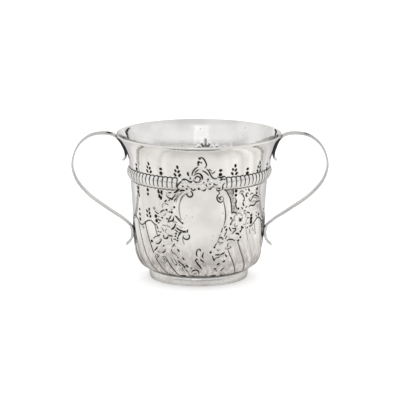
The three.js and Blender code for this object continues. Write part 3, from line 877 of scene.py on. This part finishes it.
# Middle and half size of each patch that the chaser left rough with small hammered facets
HAMMERED = [(-17.5, 54.5, 6.5, 5), (-21, 41.5, 9, 9), (-16, 31.5, 7, 5), (-26, 28, 6, 6),
            (-14, 21, 6, 7), (27, 41.5, 8, 7), (32, 54, 8, 7), (21.5, 32.5, 8, 5.5),
            (14.5, 18.5, 7, 9), (0, 64.5, 13.5, 4.5), (0.5, 73, 6, 8)]


def within(s, z, patches, edge, fade):
    """1 in oval patches, easing to 0 round them."""
    share = np.zeros(len(s))
    for centre_s, centre_z, half_s, half_z in patches:
        away = np.hypot((s - centre_s) / half_s, (z - centre_z) / half_z)
        share = np.maximum(share, ease((edge - away) / fade))
    return share


# The wall stands fuller than the plain round at which s is measured, so the work that is struck in
# it sits a little nearer the front, and higher
NEARER_FRONT = 0.72
HIGHER = 0.3


def set_out(s, z):
    """Where the chaser set out what is struck at a place."""
    return s + NEARER_FRONT * np.sin(s / WALL), z - HIGHER


# Modelling helpers

def only(piece):
    """Makes a piece the only one selected."""
    bpy.ops.object.select_all(action="DESELECT")
    piece.select_set(True)
    bpy.context.view_layer.objects.active = piece


def begun(name, primitive, scale=(1, 1, 1), **settings):
    """A new primitive, the only one selected, with its place and scale put in its mesh."""
    bpy.ops.object.select_all(action="DESELECT")
    primitive(**settings)
    piece = bpy.context.object
    piece.name = name
    piece.scale = scale
    bpy.ops.object.transform_apply(location=True, rotation=True, scale=True)
    return piece


def work_on(piece, kind, wanted, operator, **settings):
    """Runs an operator of edit mode on only the wanted faces or edges of a piece."""
    mesh = piece.data
    for part in (mesh.vertices, mesh.edges, mesh.polygons):
        part.foreach_set("select", np.zeros(len(part), bool))
    getattr(mesh, kind).foreach_set("select", np.asarray(wanted, bool))
    bpy.context.tool_settings.mesh_select_mode = (False, kind == "edges", kind == "polygons")
    bpy.ops.object.mode_set(mode="EDIT")
    operator(**settings)
    bpy.ops.object.mode_set(mode="OBJECT")


def corners(piece):
    """A piece's points, in millimetres."""
    co = np.empty(len(piece.data.vertices) * 3)
    piece.data.vertices.foreach_get("co", co)
    return co.reshape(-1, 3) / MM


def number(piece, name):
    """A named number at each of a piece's points."""
    values = np.empty(len(piece.data.vertices))
    piece.data.attributes[name].data.foreach_get("value", values)
    return values


def keep_number(piece, name, values):
    """Gives each of a piece's points a named number."""
    layer = piece.data.attributes.new(name, "FLOAT", "POINT")
    layer.data.foreach_set("value", np.asarray(values, np.float32))


def spun(name, outline, steps, stations=None):
    """A closed round piece: one point is drawn out along an outline, which is spun about Z."""
    start = (outline[0][0] * MM, 0, outline[0][1] * MM)
    piece = begun(name, bpy.ops.mesh.primitive_plane_add, size=MM, location=start)
    bpy.context.tool_settings.mesh_select_mode = (True, False, False)
    bpy.ops.object.mode_set(mode="EDIT")
    bpy.ops.mesh.select_all(action="SELECT")
    bpy.ops.mesh.merge(type="CENTER")
    for (r0, z0), (r1, z1) in zip(outline, outline[1:]):
        step = ((r1 - r0) * MM, 0, (z1 - z0) * MM)
        bpy.ops.mesh.extrude_region_move(TRANSFORM_OT_translate={"value": step})
    bpy.ops.object.mode_set(mode="OBJECT")
    if stations is not None:
        # Each point's station is that of the outline's nearest point.
        away = corners(piece)[:, None, (0, 2)] - np.array(outline)
        keep_number(piece, "station", stations[np.linalg.norm(away, axis=2).argmin(1)])
    bpy.ops.object.mode_set(mode="EDIT")
    bpy.ops.mesh.select_all(action="SELECT")
    bpy.ops.mesh.spin(steps=steps, angle=2 * math.pi, center=(0, 0, 0), axis=(0, 0, 1))
    bpy.ops.mesh.select_all(action="SELECT")
    bpy.ops.mesh.remove_doubles(threshold=1e-6)
    bpy.ops.mesh.normals_make_consistent(inside=False)
    bpy.ops.object.mode_set(mode="OBJECT")
    return piece


def wall_place(piece):
    """How far round the wall each of the cup's points lies, and its station."""
    co = corners(piece)
    return WALL * np.arctan2(co[:, 0], -co[:, 1]), number(piece, "station")


def face_places(piece):
    """The same for the middle of each face."""
    s, station = wall_place(piece)
    mesh = piece.data
    loops = np.empty(len(mesh.loops), int)
    mesh.loops.foreach_get("vertex_index", loops)
    starts = np.empty(len(mesh.polygons), int)
    mesh.polygons.foreach_get("loop_start", starts)
    sizes = np.empty(len(mesh.polygons), int)
    mesh.polygons.foreach_get("loop_total", sizes)
    x = np.add.reduceat(np.sin(s / WALL)[loops], starts)
    y = np.add.reduceat(np.cos(s / WALL)[loops], starts)
    return WALL * np.arctan2(x, y), np.add.reduceat(station[loops], starts) / sizes


# The cup

# Rows of points up the bowl, over the girdle, up the neck, round the lip and down the inside, and the
# steps in which they are spun round
BOWL_ROWS = 48
GIRDLE_ROWS = 9
NECK_ROWS = 18
LIP_ROWS = 8
INSIDE_ROWS = 44
CUP_STEPS = 126

# Faces near a mark are halved three times: how near, and how far round from the front
HALVINGS = [(1.0, ROUND), (0.24, ROUND), (-0.08, 46)]

# They are halved outside up to a height, and at the back of the inside, which shows through the
# mouth, between two heights. The back begins this far round.
CHASED_TO = 84.0
BACK_LOW = 66.0
BACK_HIGH = 80.0
BACK_FROM = 92.0


def rows():
    """Stations from the middle of the underside over the lip to the middle of the floor."""
    arc, lip = CUP["arc"], CUP["arc"][CUP["side"] == 0]
    outer_base, inner_base = arc[FLOOR_POINTS], arc[-FLOOR_POINTS - 1]
    girdle_low, girdle_high = station_of(GIRDLE_BOTTOM, 1), station_of(GIRDLE_TOP, 1)
    rounded = (1 - np.cos(np.linspace(0, math.pi, GIRDLE_ROWS))) / 2
    return np.concatenate([
        outer_base * np.array([0, 0.25, 0.5, 0.7, 0.85, 0.95]),
        np.linspace(outer_base, girdle_low, BOWL_ROWS)[:-1],
        girdle_low + (girdle_high - girdle_low) * rounded,
        np.linspace(girdle_high, lip[0], NECK_ROWS)[1:-1],
        np.linspace(lip[0], lip[-1], LIP_ROWS),
        np.linspace(lip[-1], inner_base, INSIDE_ROWS)[1:],
        inner_base + (arc[-1] - inner_base) * np.array([0.06, 0.16, 0.32, 0.55, 0.8, 1]),
    ])


def divide(piece, near, round_to):
    """Halves the faces near a mark, outside as far round as a distance, and at the inside's back."""
    s, station = face_places(piece)
    z = at_station("height", station)
    side = at_station("side", station)
    outside = (side > WHOLLY) & (z > BASE_HEIGHT + 0.05) & (z < CHASED_TO)
    back = (side < -WHOLLY) & (z > BACK_LOW) & (z < BACK_HIGH) & (np.abs(s) > BACK_FROM)
    wanted = np.zeros(len(s), bool)
    place = np.nonzero((outside & (np.abs(s) < round_to)) | back)[0]
    distance = strike(*set_out(s[place], z[place]))[0]
    wanted[place[distance < near]] = True
    work_on(piece, "polygons", wanted, bpy.ops.mesh.subdivide, number_cuts=1, ngon=False)


def cup():
    """The cup, spun from its section, with the flutes, the girdle and the chasing struck in it."""
    stations = rows()
    piece = spun("chased_cup", at_station("line", stations), CUP_STEPS, stations)
    for near, round_to in HALVINGS:
        divide(piece, near, round_to)
    s, station = wall_place(piece)
    side, height = at_station("side", station), at_station("height", station)
    outside = side > WHOLLY
    at_back = (side < -WHOLLY) & (np.abs(s) > BACK_FROM)
    chased_s, z = set_out(s, height)
    worked = swell(chased_s, z)
    bare = within(chased_s, z, BARE, 1.25, 0.35)
    broad = flutes(chased_s, z, bare) + girdle(chased_s, z) + worked
    signed, struck, tone = strike(chased_s, z)
    # The broad relief shows inside too. The struck lines show there only at the back.
    inner = -broad * (side < -0.5) - np.where(at_back, 1.3 * struck, 0)
    relief = np.where(side > 0.5, broad + struck * outside, inner)
    body = np.interp(height, [BASE_HEIGHT, 12], [0, 1])
    relief = relief + hand_wobble(s, height) * body * np.sign(side)
    to_right = np.clip(np.sin(s / WALL), 0, 1) ** 2.5
    place = at_station("line", station) + relief[:, None] * at_station("normal", station)
    a = s / WALL
    radius = place[:, 0] + to_right * neck_bulge(place[:, 1])
    co = np.stack([radius * np.sin(a), -radius * np.cos(a), place[:, 1]], 1) * MM
    piece.data.vertices.foreach_set("co", co.ravel())
    in_the_line = np.clip(0.5 - signed / 0.8, 0, 1)
    behind = at_back & (height > NECK_HEIGHT)
    crinkled = np.maximum(np.clip(worked / 0.3, 0, 1), within(chased_s, z, HAMMERED, 1.1, 0.4))
    # The tone is the sulphide in the struck lines, and painted shade in the crook over the foot.
    keep_number(piece, "struck", np.where(outside | behind, in_the_line, 0))
    keep_number(piece, "tone", np.where(outside, tone, np.where(behind, 0.55 * tone, 0)))
    keep_number(piece, "matted", np.where(outside, matted(chased_s, z), 0))
    keep_number(piece, "worked", np.where(outside, crinkled, 0))
    only(piece)
    bpy.ops.object.shade_smooth()
    piece.data.update()
    return piece


# The foot ring

FOOT_OUTLINE = [(28.3, 0.15), (28.45, 0), (29.3, 0), (29.62, 0.12), (29.85, 0.4), (30.1, 1.2),
                (30.22, 2.2), (30.2, 3.2), (30.02, 4.2), (29.75, 5), (29.45, 5.55), (29.3, 5.9),
                (28.7, 5.75), (28.5, 5.2), (28.35, 3), (28.3, 0.15)]
FOOT_STEPS = 160


def foot():
    """A strip bent into a ring, its edges eased, with painted shade along the seam of solder that
    joins it to the bowl.
    """
    piece = spun("soldered_foot", smooth(FOOT_OUTLINE, 0.35), FOOT_STEPS)
    co = corners(piece)
    a = np.arctan2(co[:, 0], -co[:, 1])
    dents = 0.05 * np.sin(5 * a + 1) + 0.03 * np.sin(13 * a)
    outside = ease((np.hypot(co[:, 0], co[:, 1]) - 29) / 0.6) * ease(co[:, 2] / 0.8)
    co[:, :2] *= (1 - (0.08 + dents) * outside / 30)[:, None]
    co[:, 2] = np.maximum(co[:, 2], 0)
    piece.data.vertices.foreach_set("co", (co * MM).ravel())
    # Painted shade lies along the seam at the top, and tarnish in specks all over.
    seam = np.clip((co[:, 2] - 4.9) / 0.7, 0, 1)
    keep_number(piece, "struck", np.ones(len(co)))
    speckled = 0.02 + 0.2 * np.random.default_rng(7).random(len(co)) ** 2
    keep_number(piece, "tone", np.maximum(0.8 * seam, speckled))
    only(piece)
    bpy.ops.object.shade_smooth()
    return piece


# The strap handles

STRAP_WIDTH = 7.6
STRAP_END_WIDTH = 5.8
STRAP_THICKNESS = 1.25
STRAP_EDGE = 0.42
ROUND_END = 1.6
TAPER_TOP = 60.0
CUTS_ACROSS = 7
CUTS_ALONG = 239

# The strap stands off the neck and the lower wall by the solder's thickness. The two handles are bent
# by hand, one a little wider than the other.
JOINT_GAP = 0.3
LOWER_GAP = 0.2
HAND_BENT_SPREAD = 0.021

# Its middle line: the spur, the places on the neck as shares of the neck's line, the loop, the heights
# of the lower joint, between which it lies along the wall, and the tail
SPUR = [(46.4, 71.7), (44.6, 73.2)]
ON_THE_NECK = (0.34, 0.52, 0.7, 0.84)
LOOP = [(52.3, 87.4), (58.6, 88.26), (66.6, 86.7), (73.9, 80.4), (77.38, 69.8), (75.1, 60.3),
        (67.6, 50.9), (54.5, 41.2), (45.6, 35.2)]
LOWER_JOINT = (30.2, 25.4)
TAIL = [(41.9, 21.6), (44.6, 19)]

# The solder at the neck and at the lower wall lies between two heights, and within a length of the
# strap from the spur's tip, or within a distance of the axis
NECK_SOLDER = (73.5, 86.6)
NECK_SOLDER_LENGTH = 22
LOW_SOLDER = (23.2, 32.0)
LOW_SOLDER_WITHIN = 46


def handle_line(side, spread):
    """The strap's middle line in x and z: spur, neck, loop, lower joint and tail."""
    outside = CUP["side"] > WHOLLY
    height, line, normal = (CUP[name][outside] for name in ("height", "line", "normal"))
    neck = height > NECK_HEIGHT
    at = [int(t * (neck.sum() - 1)) for t in ON_THE_NECK]
    strapped = line[neck][at] + (JOINT_GAP + STRAP_THICKNESS / 2) * normal[neck][at]
    at_neck = np.vstack([SPUR, strapped])
    if side > 0:
        at_neck[:, 0] += neck_bulge(at_neck[:, 1])
    joint = np.interp(LOWER_JOINT, height, line[:, 0]) + LOWER_GAP + STRAP_THICKNESS / 2
    loop = [(x + spread * (x - joint[1]), z) for x, z in LOOP]
    return smooth([*at_neck, *loop, *zip(joint, LOWER_JOINT), *TAIL], 0.1)


def strap_blank(name, length):
    """A flat strap with rounded edges, cut across often enough to be bent."""
    piece = begun(name, bpy.ops.mesh.primitive_cube_add, size=1, location=(length / 2 * MM, 0, 0),
                  scale=(length * MM, STRAP_WIDTH * MM, STRAP_THICKNESS * MM))

    def running(axis, shortest=0):
        """Which edges run straight along an axis, and are longer than the shortest."""
        ends = corners(piece)[np.array([e.vertices[:] for e in piece.data.edges])]
        reach = np.abs(ends[:, 1] - ends[:, 0])
        straight = reach[:, axis] > 0.999 * np.linalg.norm(reach, axis=1)
        return straight & (reach[:, axis] > shortest)

    work_on(piece, "edges", running(0), bpy.ops.mesh.bevel, offset=STRAP_EDGE * MM, segments=4,
            affect="EDGES")
    work_on(piece, "edges", running(1, 3), bpy.ops.mesh.subdivide, number_cuts=CUTS_ACROSS)
    work_on(piece, "edges", running(0), bpy.ops.mesh.subdivide, number_cuts=CUTS_ALONG)
    return piece


def between(heights, low, high):
    """1 between two heights, easing to 0 at both."""
    return ease((heights - low) / 1.5) * ease((high - heights) / 1.5)


def handle(name, side, spread):
    """A strap bent into a handle, worn round at its ends, with the solder at its two joints."""
    line = handle_line(side, spread)
    arc = np.concatenate([[0], np.cumsum(np.linalg.norm(np.diff(line, axis=0), axis=1))])
    length = arc[-1]
    piece = strap_blank(name, length)
    co = corners(piece)
    along, across, thick = co.T
    # The cuts stand closer towards both ends, where the strap narrows to a round.
    end = np.minimum(along, length - along)
    closer = ROUND_END * (1 - np.cos(math.pi / 2 * np.clip(end / ROUND_END, 0, 1)))
    from_end = closer + np.maximum(end - ROUND_END, 0)
    along = np.where(along < length / 2, from_end, length - from_end)
    end = np.minimum(along, length - along)
    narrow = np.sqrt(np.clip(1 - (1 - np.clip(end / ROUND_END, 0, 1)) ** 2, 0.02, 1))
    centre = np.stack([np.interp(along, arc, line[:, k]) for k in (0, 1)], 1)
    # The crowned side faces away from the cup, which is to the right of the line's direction.
    right = square_to(line)
    out = np.stack([np.interp(along, arc, right[:, k]) for k in (0, 1)], 1)
    wide = np.interp(centre[:, 1], [line[-1, 1], TAPER_TOP], [STRAP_END_WIDTH, STRAP_WIDTH])
    v = across / (STRAP_WIDTH / 2)
    w = thick / STRAP_THICKNESS
    crown = np.where(w > 0, 1 - 0.3 * v**2, 1)
    place = centre + out * (STRAP_THICKNESS * w * crown * (0.35 + 0.65 * narrow))[:, None]
    # The hammer leaves the edges a little uneven.
    beat = 0.6 * np.sin(along / 3.1) + 0.4 * np.sin(along / 1.3 + 2)
    y = v * wide / 2 * narrow * (0.985 + 0.01 * beat)
    # Solder fills the gap under the strap down to the wall, and runs out a little beside it.
    on_neck = between(centre[:, 1], *NECK_SOLDER) * (along < NECK_SOLDER_LENGTH)
    low = between(centre[:, 1], *LOW_SOLDER) * (centre[:, 0] < LOW_SOLDER_WITHIN)
    under = np.clip(-w * 2, 0, 1) * np.maximum(on_neck, low)
    place -= out * (under * (JOINT_GAP + 0.12 + 0.2 * low))[:, None]
    y *= 1 + 0.05 * under
    turned = np.stack([side * place[:, 0], side * -y, place[:, 1]], 1)
    piece.data.vertices.foreach_set("co", (turned * MM).ravel())
    # Painted shade darkens the joints: the solder in the gap under the strap and the strap's edges
    # along the neck, less so at the lower wall. A thin film lies on the strap, a little darker along
    # its filed edges, and painted shade darkens its flat side, which faces the cup, up the loop.
    edge = ease((np.abs(v) - 0.8) / 0.2)
    dark = (0.97 - 0.6 * low) * np.maximum(under, on_neck * edge)
    painted_flat_side_shade = 0.04 + 0.18 * ease((centre[:, 1] - 36) / 12)
    film_and_painted_shade = 0.08 + painted_flat_side_shade * ease(-4 * w) + 0.06 * ease((np.abs(v) - 0.9) / 0.1)
    keep_number(piece, "struck", np.ones(len(co)))
    keep_number(piece, "tone", np.maximum(dark, film_and_painted_shade))
    only(piece)
    bpy.ops.object.mode_set(mode="EDIT")
    bpy.ops.mesh.select_all(action="SELECT")
    bpy.ops.mesh.normals_make_consistent(inside=False)
    bpy.ops.object.mode_set(mode="OBJECT")
    bpy.ops.object.shade_smooth()
    return piece


# Materials

def linear(colour):
    """An sRGB hex colour as linear numbers."""
    values = [int(colour[k : k + 2], 16) / 255 for k in (1, 3, 5)]
    return [v / 12.92 if v <= 0.04045 else ((v + 0.055) / 1.055) ** 2.4 for v in values] + [1]


SOFT = {"interpolation_type": "SMOOTHSTEP"}
COLOUR = {"data_type": "RGBA"}
TIMES = {"operation": "MULTIPLY"}


def add(tree, kind, inputs=None, **settings):
    """A node with its settings. Each input gets a plain value, or a link from a socket or from the
    first socket that another node gives out."""
    node = tree.nodes.new("ShaderNode" + kind)
    for name, value in settings.items():
        setattr(node, name, value)
    for name, value in (inputs or {}).items():
        if isinstance(value, bpy.types.Node):
            value = next(socket for socket in value.outputs if socket.enabled)
        if isinstance(value, bpy.types.NodeSocket):
            tree.links.new(value, node.inputs[name])
        else:
            node.inputs[name].default_value = value
    return node


def bare_material(name):
    """A named material with an empty tree, and the tree."""
    material = bpy.data.materials.new(name)
    material.use_nodes = True
    material.node_tree.nodes.clear()
    return material, material.node_tree


def silver():
    """Sterling silver, raised and planished with a hammer, chased and long polished by hand. The
    wall mirrors softly and not quite evenly, its bare parts are brighter than its hollows, and dark
    sulphide stays in the struck lines and the matted ground, where the cloth can't reach."""
    material, tree = bare_material("hand_raised_sterling_silver")
    at = add(tree, "TexCoord").outputs["Object"]
    height = add(tree, "SeparateXYZ", {0: at}).outputs["Z"]
    struck, tone, matt, worked = (add(tree, "Attribute", attribute_name=name).outputs["Fac"]
                                  for name in ("struck", "tone", "matted", "worked"))
    # A breath of tarnish in patches 15 mm across, and the bowl darker and warmer towards the bottom.
    patches = add(tree, "TexNoise", {"Vector": at, "Scale": 65.0, "Detail": 3.0})
    patchy = add(tree, "MapRange", {"Value": patches, "From Min": 0.35, "From Max": 0.7}, **SOFT)
    wall = add(tree, "Mix", {0: patchy, 6: linear("#e6e5e3"), 7: linear("#d8d6d4")}, **COLOUR)
    low = add(tree, "MapRange", {"Value": height, "From Min": 0.036, "From Max": 0.008,
                                 "To Max": 0.75}, **SOFT)
    # That darkening lies in upright smears, 1.5 mm wide. There are none on the foot.
    drawn = add(tree, "VectorMath", {0: at, 1: (1, 1, 0.3)}, **TIMES)
    smears = add(tree, "TexNoise", {"Vector": drawn, "Scale": 650.0, "Detail": 2.0})
    smear = add(tree, "MapRange", {"Value": smears, "From Min": 0.36, "From Max": 0.64,
                                   "To Min": 0.2}, **SOFT)
    bowl = add(tree, "MapRange", {"Value": height, "From Min": 0.006, "From Max": 0.0075})
    wiped = add(tree, "Mix", {0: bowl, 2: 0.2, 3: smear})
    darker_low = add(tree, "Math", {0: low, 1: wiped}, **TIMES)
    darkened_low = add(tree, "Mix", {0: darker_low, 6: wall, 7: linear("#aba39f")}, **COLOUR)
    # Pinprick pits, 0.5 mm across and far apart.
    pits = add(tree, "TexVoronoi", {"Vector": at, "Scale": 260.0})
    pit = add(tree, "MapRange", {"Value": pits, "From Min": 0.13, "From Max": 0.05}, **SOFT)
    rare = add(tree, "TexNoise", {"Vector": at, "Scale": 120.0, "Detail": 0.0})
    chosen = add(tree, "MapRange", {"Value": rare, "From Min": 0.54, "From Max": 0.62,
                                    "To Max": 0.7}, **SOFT)
    few = add(tree, "Math", {0: pit, 1: chosen}, **TIMES)
    pitted = add(tree, "Mix", {0: few, 6: darkened_low, 7: linear("#6a625c")}, **COLOUR)
    # The matting punch leaves a ground of dots 0.45 mm apart, rubbed bright in streaks 1.4 mm across.
    dots = add(tree, "TexVoronoi", {"Vector": at, "Scale": 2200.0})
    dot = add(tree, "MapRange", {"Value": dots, "From Min": 0.5, "From Max": 0.15}, **SOFT)
    streaks = add(tree, "TexNoise", {"Vector": at, "Scale": 700.0, "Detail": 1.0})
    streak = add(tree, "MapRange", {"Value": streaks, "From Min": 0.4, "From Max": 0.62}, **SOFT)
    rubbed = add(tree, "Mix", {0: streak, 6: linear("#a8a29d"), 7: linear("#dedad6")}, **COLOUR)
    ground = add(tree, "Mix", {0: dot, 6: rubbed, 7: linear("#5a5450")}, **COLOUR)
    grounded = add(tree, "Mix", {0: matt, 6: pitted, 7: ground}, **COLOUR)
    # Sulphide in the struck lines, by the tone of each. The same tone carries the painted shade at the
    # handles' joints and flat sides, and in the crook over the foot.
    deep = add(tree, "MapRange", {"Value": struck, "From Min": 0.3, "From Max": 0.8}, **SOFT)
    dark = add(tree, "Math", {0: deep, 1: tone}, **TIMES)
    colour = add(tree, "Mix", {0: dark, 6: grounded, 7: linear("#24211f")}, **COLOUR)
    # Polished parts are smoother than the patches, the ground and the struck lines.
    gloss = add(tree, "MapRange", {"Value": patches, "From Min": 0.3, "From Max": 0.75,
                                   "To Min": 0.06, "To Max": 0.12})
    rough = add(tree, "Mix", {0: matt, 2: gloss, 3: 0.45})
    rougher = add(tree, "Mix", {0: dark, 2: rough, 3: 0.4})
    # Planishing facets 5 mm across, dents of use 1.6 mm across, and polishing scratches, drawn
    # 0.3 mm apart so that they show.
    beneath = {}
    for scale, detail, strength, distance in [(200.0, 1.0, 0.14, 0.0006), (620.0, 1.0, 0.1, 0.0002),
                                              (3000.0, 2.0, 0.06, 0.00005)]:
        marks = add(tree, "TexNoise", {"Vector": at, "Scale": scale, "Detail": detail})
        bump = add(tree, "Bump", {"Height": marks, "Strength": strength, "Distance": distance,
                                  **beneath})
        beneath = {"Normal": bump}
    # The small hammered facets of the petals and scrolls, 1.2 mm across.
    crinkles = add(tree, "TexNoise", {"Vector": at, "Scale": 850.0, "Detail": 1.0})
    crinkled = add(tree, "Math", {0: crinkles, 1: worked}, **TIMES)
    textured = add(tree, "Bump", {"Height": crinkled, "Strength": 1.0, "Distance": 0.0003,
                                  **beneath})
    points = add(tree, "Math", {0: dot, 1: matt}, **TIMES)
    stippled = add(tree, "Bump", {"Height": points, "Strength": 0.6, "Distance": 0.0001,
                                  "Normal": textured}, invert=True)
    shader = add(tree, "BsdfPrincipled",
                 {"Base Color": colour, "Metallic": 1.0, "Roughness": rougher,
                  "Specular Tint": (0.5, 0.5, 0.5, 1), "Normal": stippled})
    add(tree, "OutputMaterial", {"Surface": shader})
    return material


def dress(piece, material, node):
    """Gives a finished piece its material and its body, and hides the frame's part that it stands for.
    """
    piece.data.materials.clear()
    piece.data.materials.append(material)
    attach(piece, "root")
    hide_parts(node)


SILVER = silver()
dress(cup(), SILVER, "cup_body")
dress(foot(), SILVER, "foot_ring")
dress(handle("right_strap_handle", 1, HAND_BENT_SPREAD), SILVER, "handle_right")
dress(handle("left_strap_handle", -1, -HAND_BENT_SPREAD), SILVER, "handle_left")


# Floor, lights and camera

# The camera stands in front of the cup, as fitted to the ellipses of the photograph's rim and foot.
# Its place and height are in metres, its tilt is in degrees down, and its shift centres the view.
CAMERA_PLACE = (0, -1.40272, 0.34164)
CAMERA_TILT = 11.88
CAMERA_SHIFT = (0.00325, 0.00125)
LENS = 211.8
SENSOR = 36

# The card that the silver sees as its table lies just over the floor
CARD_LIFT = 0.0008
CARD_GLOW = 1.06


def white_paper():
    """Matt white paper, lit from behind as on a light table, so that the silver's foot casts only
    a soft shade."""
    material, tree = bare_material("white_paper")
    shader = add(tree, "BsdfPrincipled",
                 {"Base Color": linear("#e8e8e8"), "Roughness": 0.9,
                  "Emission Color": (1, 1, 1, 1), "Emission Strength": 0.3})
    add(tree, "OutputMaterial", {"Surface": shader})
    return material


def floor():
    """A wide sheet of paper under the foot."""
    sheet = begun("floor", bpy.ops.mesh.primitive_plane_add, size=8, location=(0, 0, 0))
    sheet.data.materials.append(white_paper())


def camera():
    """The photograph's camera: nearly 12 degrees down, far off, with a long lens."""
    data = bpy.data.cameras.new("camera")
    data.sensor_width = SENSOR
    data.lens = LENS
    data.shift_x, data.shift_y = CAMERA_SHIFT
    eye = bpy.data.objects.new("camera", data)
    bpy.context.scene.collection.objects.link(eye)
    eye.location = CAMERA_PLACE
    eye.rotation_euler = (math.radians(90 - CAMERA_TILT), 0, 0)
    bpy.context.scene.camera = eye


def softbox(name, size, place, strength):
    """A soft square lamp that points at the cup."""
    data = bpy.data.lights.new(name, "AREA")
    data.shape = "RECTANGLE"
    data.size, data.size_y = size
    data.energy = strength
    lamp = bpy.data.objects.new(name, data)
    bpy.context.scene.collection.objects.link(lamp)
    lamp.location = place
    lamp.rotation_euler = (Vector((0, 0, 0.04)) - Vector(place)).to_track_quat("-Z", "Y").to_euler()
    lamp.visible_camera = False
    lamp.visible_glossy = False


def unseen_card(name, size, place, turn, material):
    """A card that only the silver sees: no shadow, and nothing of it in the picture."""
    card = begun(name, bpy.ops.mesh.primitive_plane_add, (*size, 1), size=1, location=place,
                 rotation=turn)
    for way in ("camera", "diffuse", "shadow", "transmission", "volume_scatter"):
        setattr(card, "visible_" + way, False)
    card.data.materials.append(material)


def dark_card():
    """Nearly black card, which the silver mirrors as an even dark bar."""
    material, tree = bare_material("dark_card")
    glow = add(tree, "Emission", {"Color": linear("#0c0c0e")})
    add(tree, "OutputMaterial", {"Surface": glow})
    return material


def shaded_table():
    """The table as the silver sees it: clear under the foot and behind, shaded in front of the foot,
    with broad soft stripes to the sides, because the room round it isn't even."""
    material, tree = bare_material("shaded_table")
    at = add(tree, "TexCoord").outputs["Object"]
    away = add(tree, "VectorMath", {0: at}, operation="LENGTH")
    y = add(tree, "SeparateXYZ", {0: at}).outputs["Y"]
    backwards = add(tree, "Math", {0: y, 1: away}, operation="DIVIDE")
    # Clear under the foot, and clear again behind a line to each side.
    outwards = add(tree, "MapRange", {"Value": away, "From Min": 0.0305, "From Max": 0.034}, **SOFT)
    fading = add(tree, "MapRange", {"Value": backwards, "From Min": 0.47, "From Max": 0.79,
                                    "To Min": 1.0, "To Max": 0.0}, **SOFT)
    there = add(tree, "Math", {0: outwards, 1: fading}, **TIMES)
    # Broad soft stripes to the sides, which the flutes pick up.
    flat = add(tree, "VectorMath", {0: at}, operation="NORMALIZE")
    stripes = add(tree, "TexNoise", {"Vector": flat, "Scale": 3.2, "Detail": 1.0})
    uneven = add(tree, "MapRange", {"Value": stripes, "From Min": 0.3, "From Max": 0.7,
                                    "To Min": 0.82 * CARD_GLOW, "To Max": 1.2 * CARD_GLOW})
    beside = add(tree, "MapRange", {"Value": backwards, "From Min": -0.9, "From Max": -0.6}, **SOFT)
    sided = add(tree, "Mix", {0: beside, 2: CARD_GLOW, 3: uneven})
    behind = add(tree, "MapRange", {"Value": backwards, "From Min": 0.3, "From Max": 0.6,
                                    "To Min": 1.0, "To Max": 1.12}, **SOFT)
    level = add(tree, "Math", {0: sided, 1: behind}, **TIMES)
    # In front the table is darker near the foot, but for a bright ring close round it.
    shaded = add(tree, "MapRange", {"Value": away, "From Min": 0.03, "From Max": 0.12,
                                    "To Min": 0.68}, **SOFT)
    near = add(tree, "MapRange", {"Value": away, "From Min": 0.044, "From Max": 0.06,
                                  "To Min": 0.92, "To Max": 0.0}, **SOFT)
    middle = add(tree, "Math", {0: shaded, 1: near}, operation="MAXIMUM")
    sideways = add(tree, "MapRange", {"Value": backwards, "From Min": -0.6, "From Max": -0.15},
                   **SOFT)
    shade = add(tree, "Mix", {0: sideways, 2: middle, 3: 1.05})
    strength = add(tree, "Math", {0: level, 1: shade}, **TIMES)
    glow = add(tree, "Emission", {"Color": linear("#fbf9f6"), "Strength": strength})
    clear = add(tree, "BsdfTransparent")
    surface = add(tree, "MixShader", {0: there, 1: clear, 2: glow})
    add(tree, "OutputMaterial", {"Surface": surface})
    return material


def pale_room():
    """A pale room: darker low on the camera's side, brighter straight behind and in a strip high in
    front, with a grey ceiling."""
    room = bpy.data.worlds.new("pale_room")
    room.use_nodes = True
    tree = room.node_tree
    way = add(tree, "TexCoord").outputs["Generated"]
    x, y, z = add(tree, "SeparateXYZ", {0: way}).outputs
    front = add(tree, "MapRange", {"Value": y, "From Min": -0.9, "From Max": 0.1}, **SOFT)
    high = add(tree, "MapRange", {"Value": z, "From Min": 0.05, "From Max": 0.35}, **SOFT)
    pale = add(tree, "Math", {0: front, 1: high}, operation="MAXIMUM")
    left = add(tree, "MapRange", {"Value": x, "From Min": 0.13, "From Max": 0.11})
    right = add(tree, "MapRange", {"Value": x, "From Min": -0.3, "From Max": -0.15}, **SOFT)
    before = add(tree, "MapRange", {"Value": y, "From Min": -0.2, "From Max": -0.3})
    across = add(tree, "Math", {0: left, 1: right}, **TIMES)
    strip = add(tree, "Math", {0: across, 1: before}, **TIMES)
    beyond = add(tree, "MapRange", {"Value": y, "From Min": 0.75, "From Max": 0.88}, **SOFT)
    far = add(tree, "Mix", {0: beyond, 6: (1.02, 1.02, 1.02, 1), 7: (1.45, 1.45, 1.45, 1)},
              **COLOUR)
    lit = add(tree, "Mix", {0: strip, 6: far, 7: (1.3, 1.3, 1.31, 1)}, **COLOUR)
    walls = add(tree, "Mix", {0: pale, 6: (0.56, 0.56, 0.56, 1), 7: lit}, **COLOUR)
    top = add(tree, "MapRange", {"Value": z, "From Min": 0.78, "From Max": 0.93}, **SOFT)
    ceiling = add(tree, "Mix", {0: top, 6: walls, 7: (0.9, 0.9, 0.9, 1)}, **COLOUR)
    tree.links.new(ceiling.outputs[2], tree.nodes["Background"].inputs["Color"])
    return room


def studio():
    """The room, a large soft lamp over the table, and the cards that the silver mirrors."""
    bpy.context.scene.world = pale_room()
    bpy.context.scene.view_settings.view_transform = "Standard"
    softbox("overhead_lamp", (2.6, 2.0), (0, 0.5, 1.3), 9)
    unseen_card("table_in_the_silver", (3, 3), (0, 0, CARD_LIFT), (0, 0, 0), shaded_table())
    upright = (math.pi / 2, 0, 0)
    posts = dark_card()
    unseen_card("dark_post_left", (0.04, 0.13), (0.115, 0.239, 0.18), upright, posts)
    unseen_card("dark_post_right", (0.026, 0.08), (-0.046, 0.239, 0.148), upright, posts)


floor()
studio()
camera()
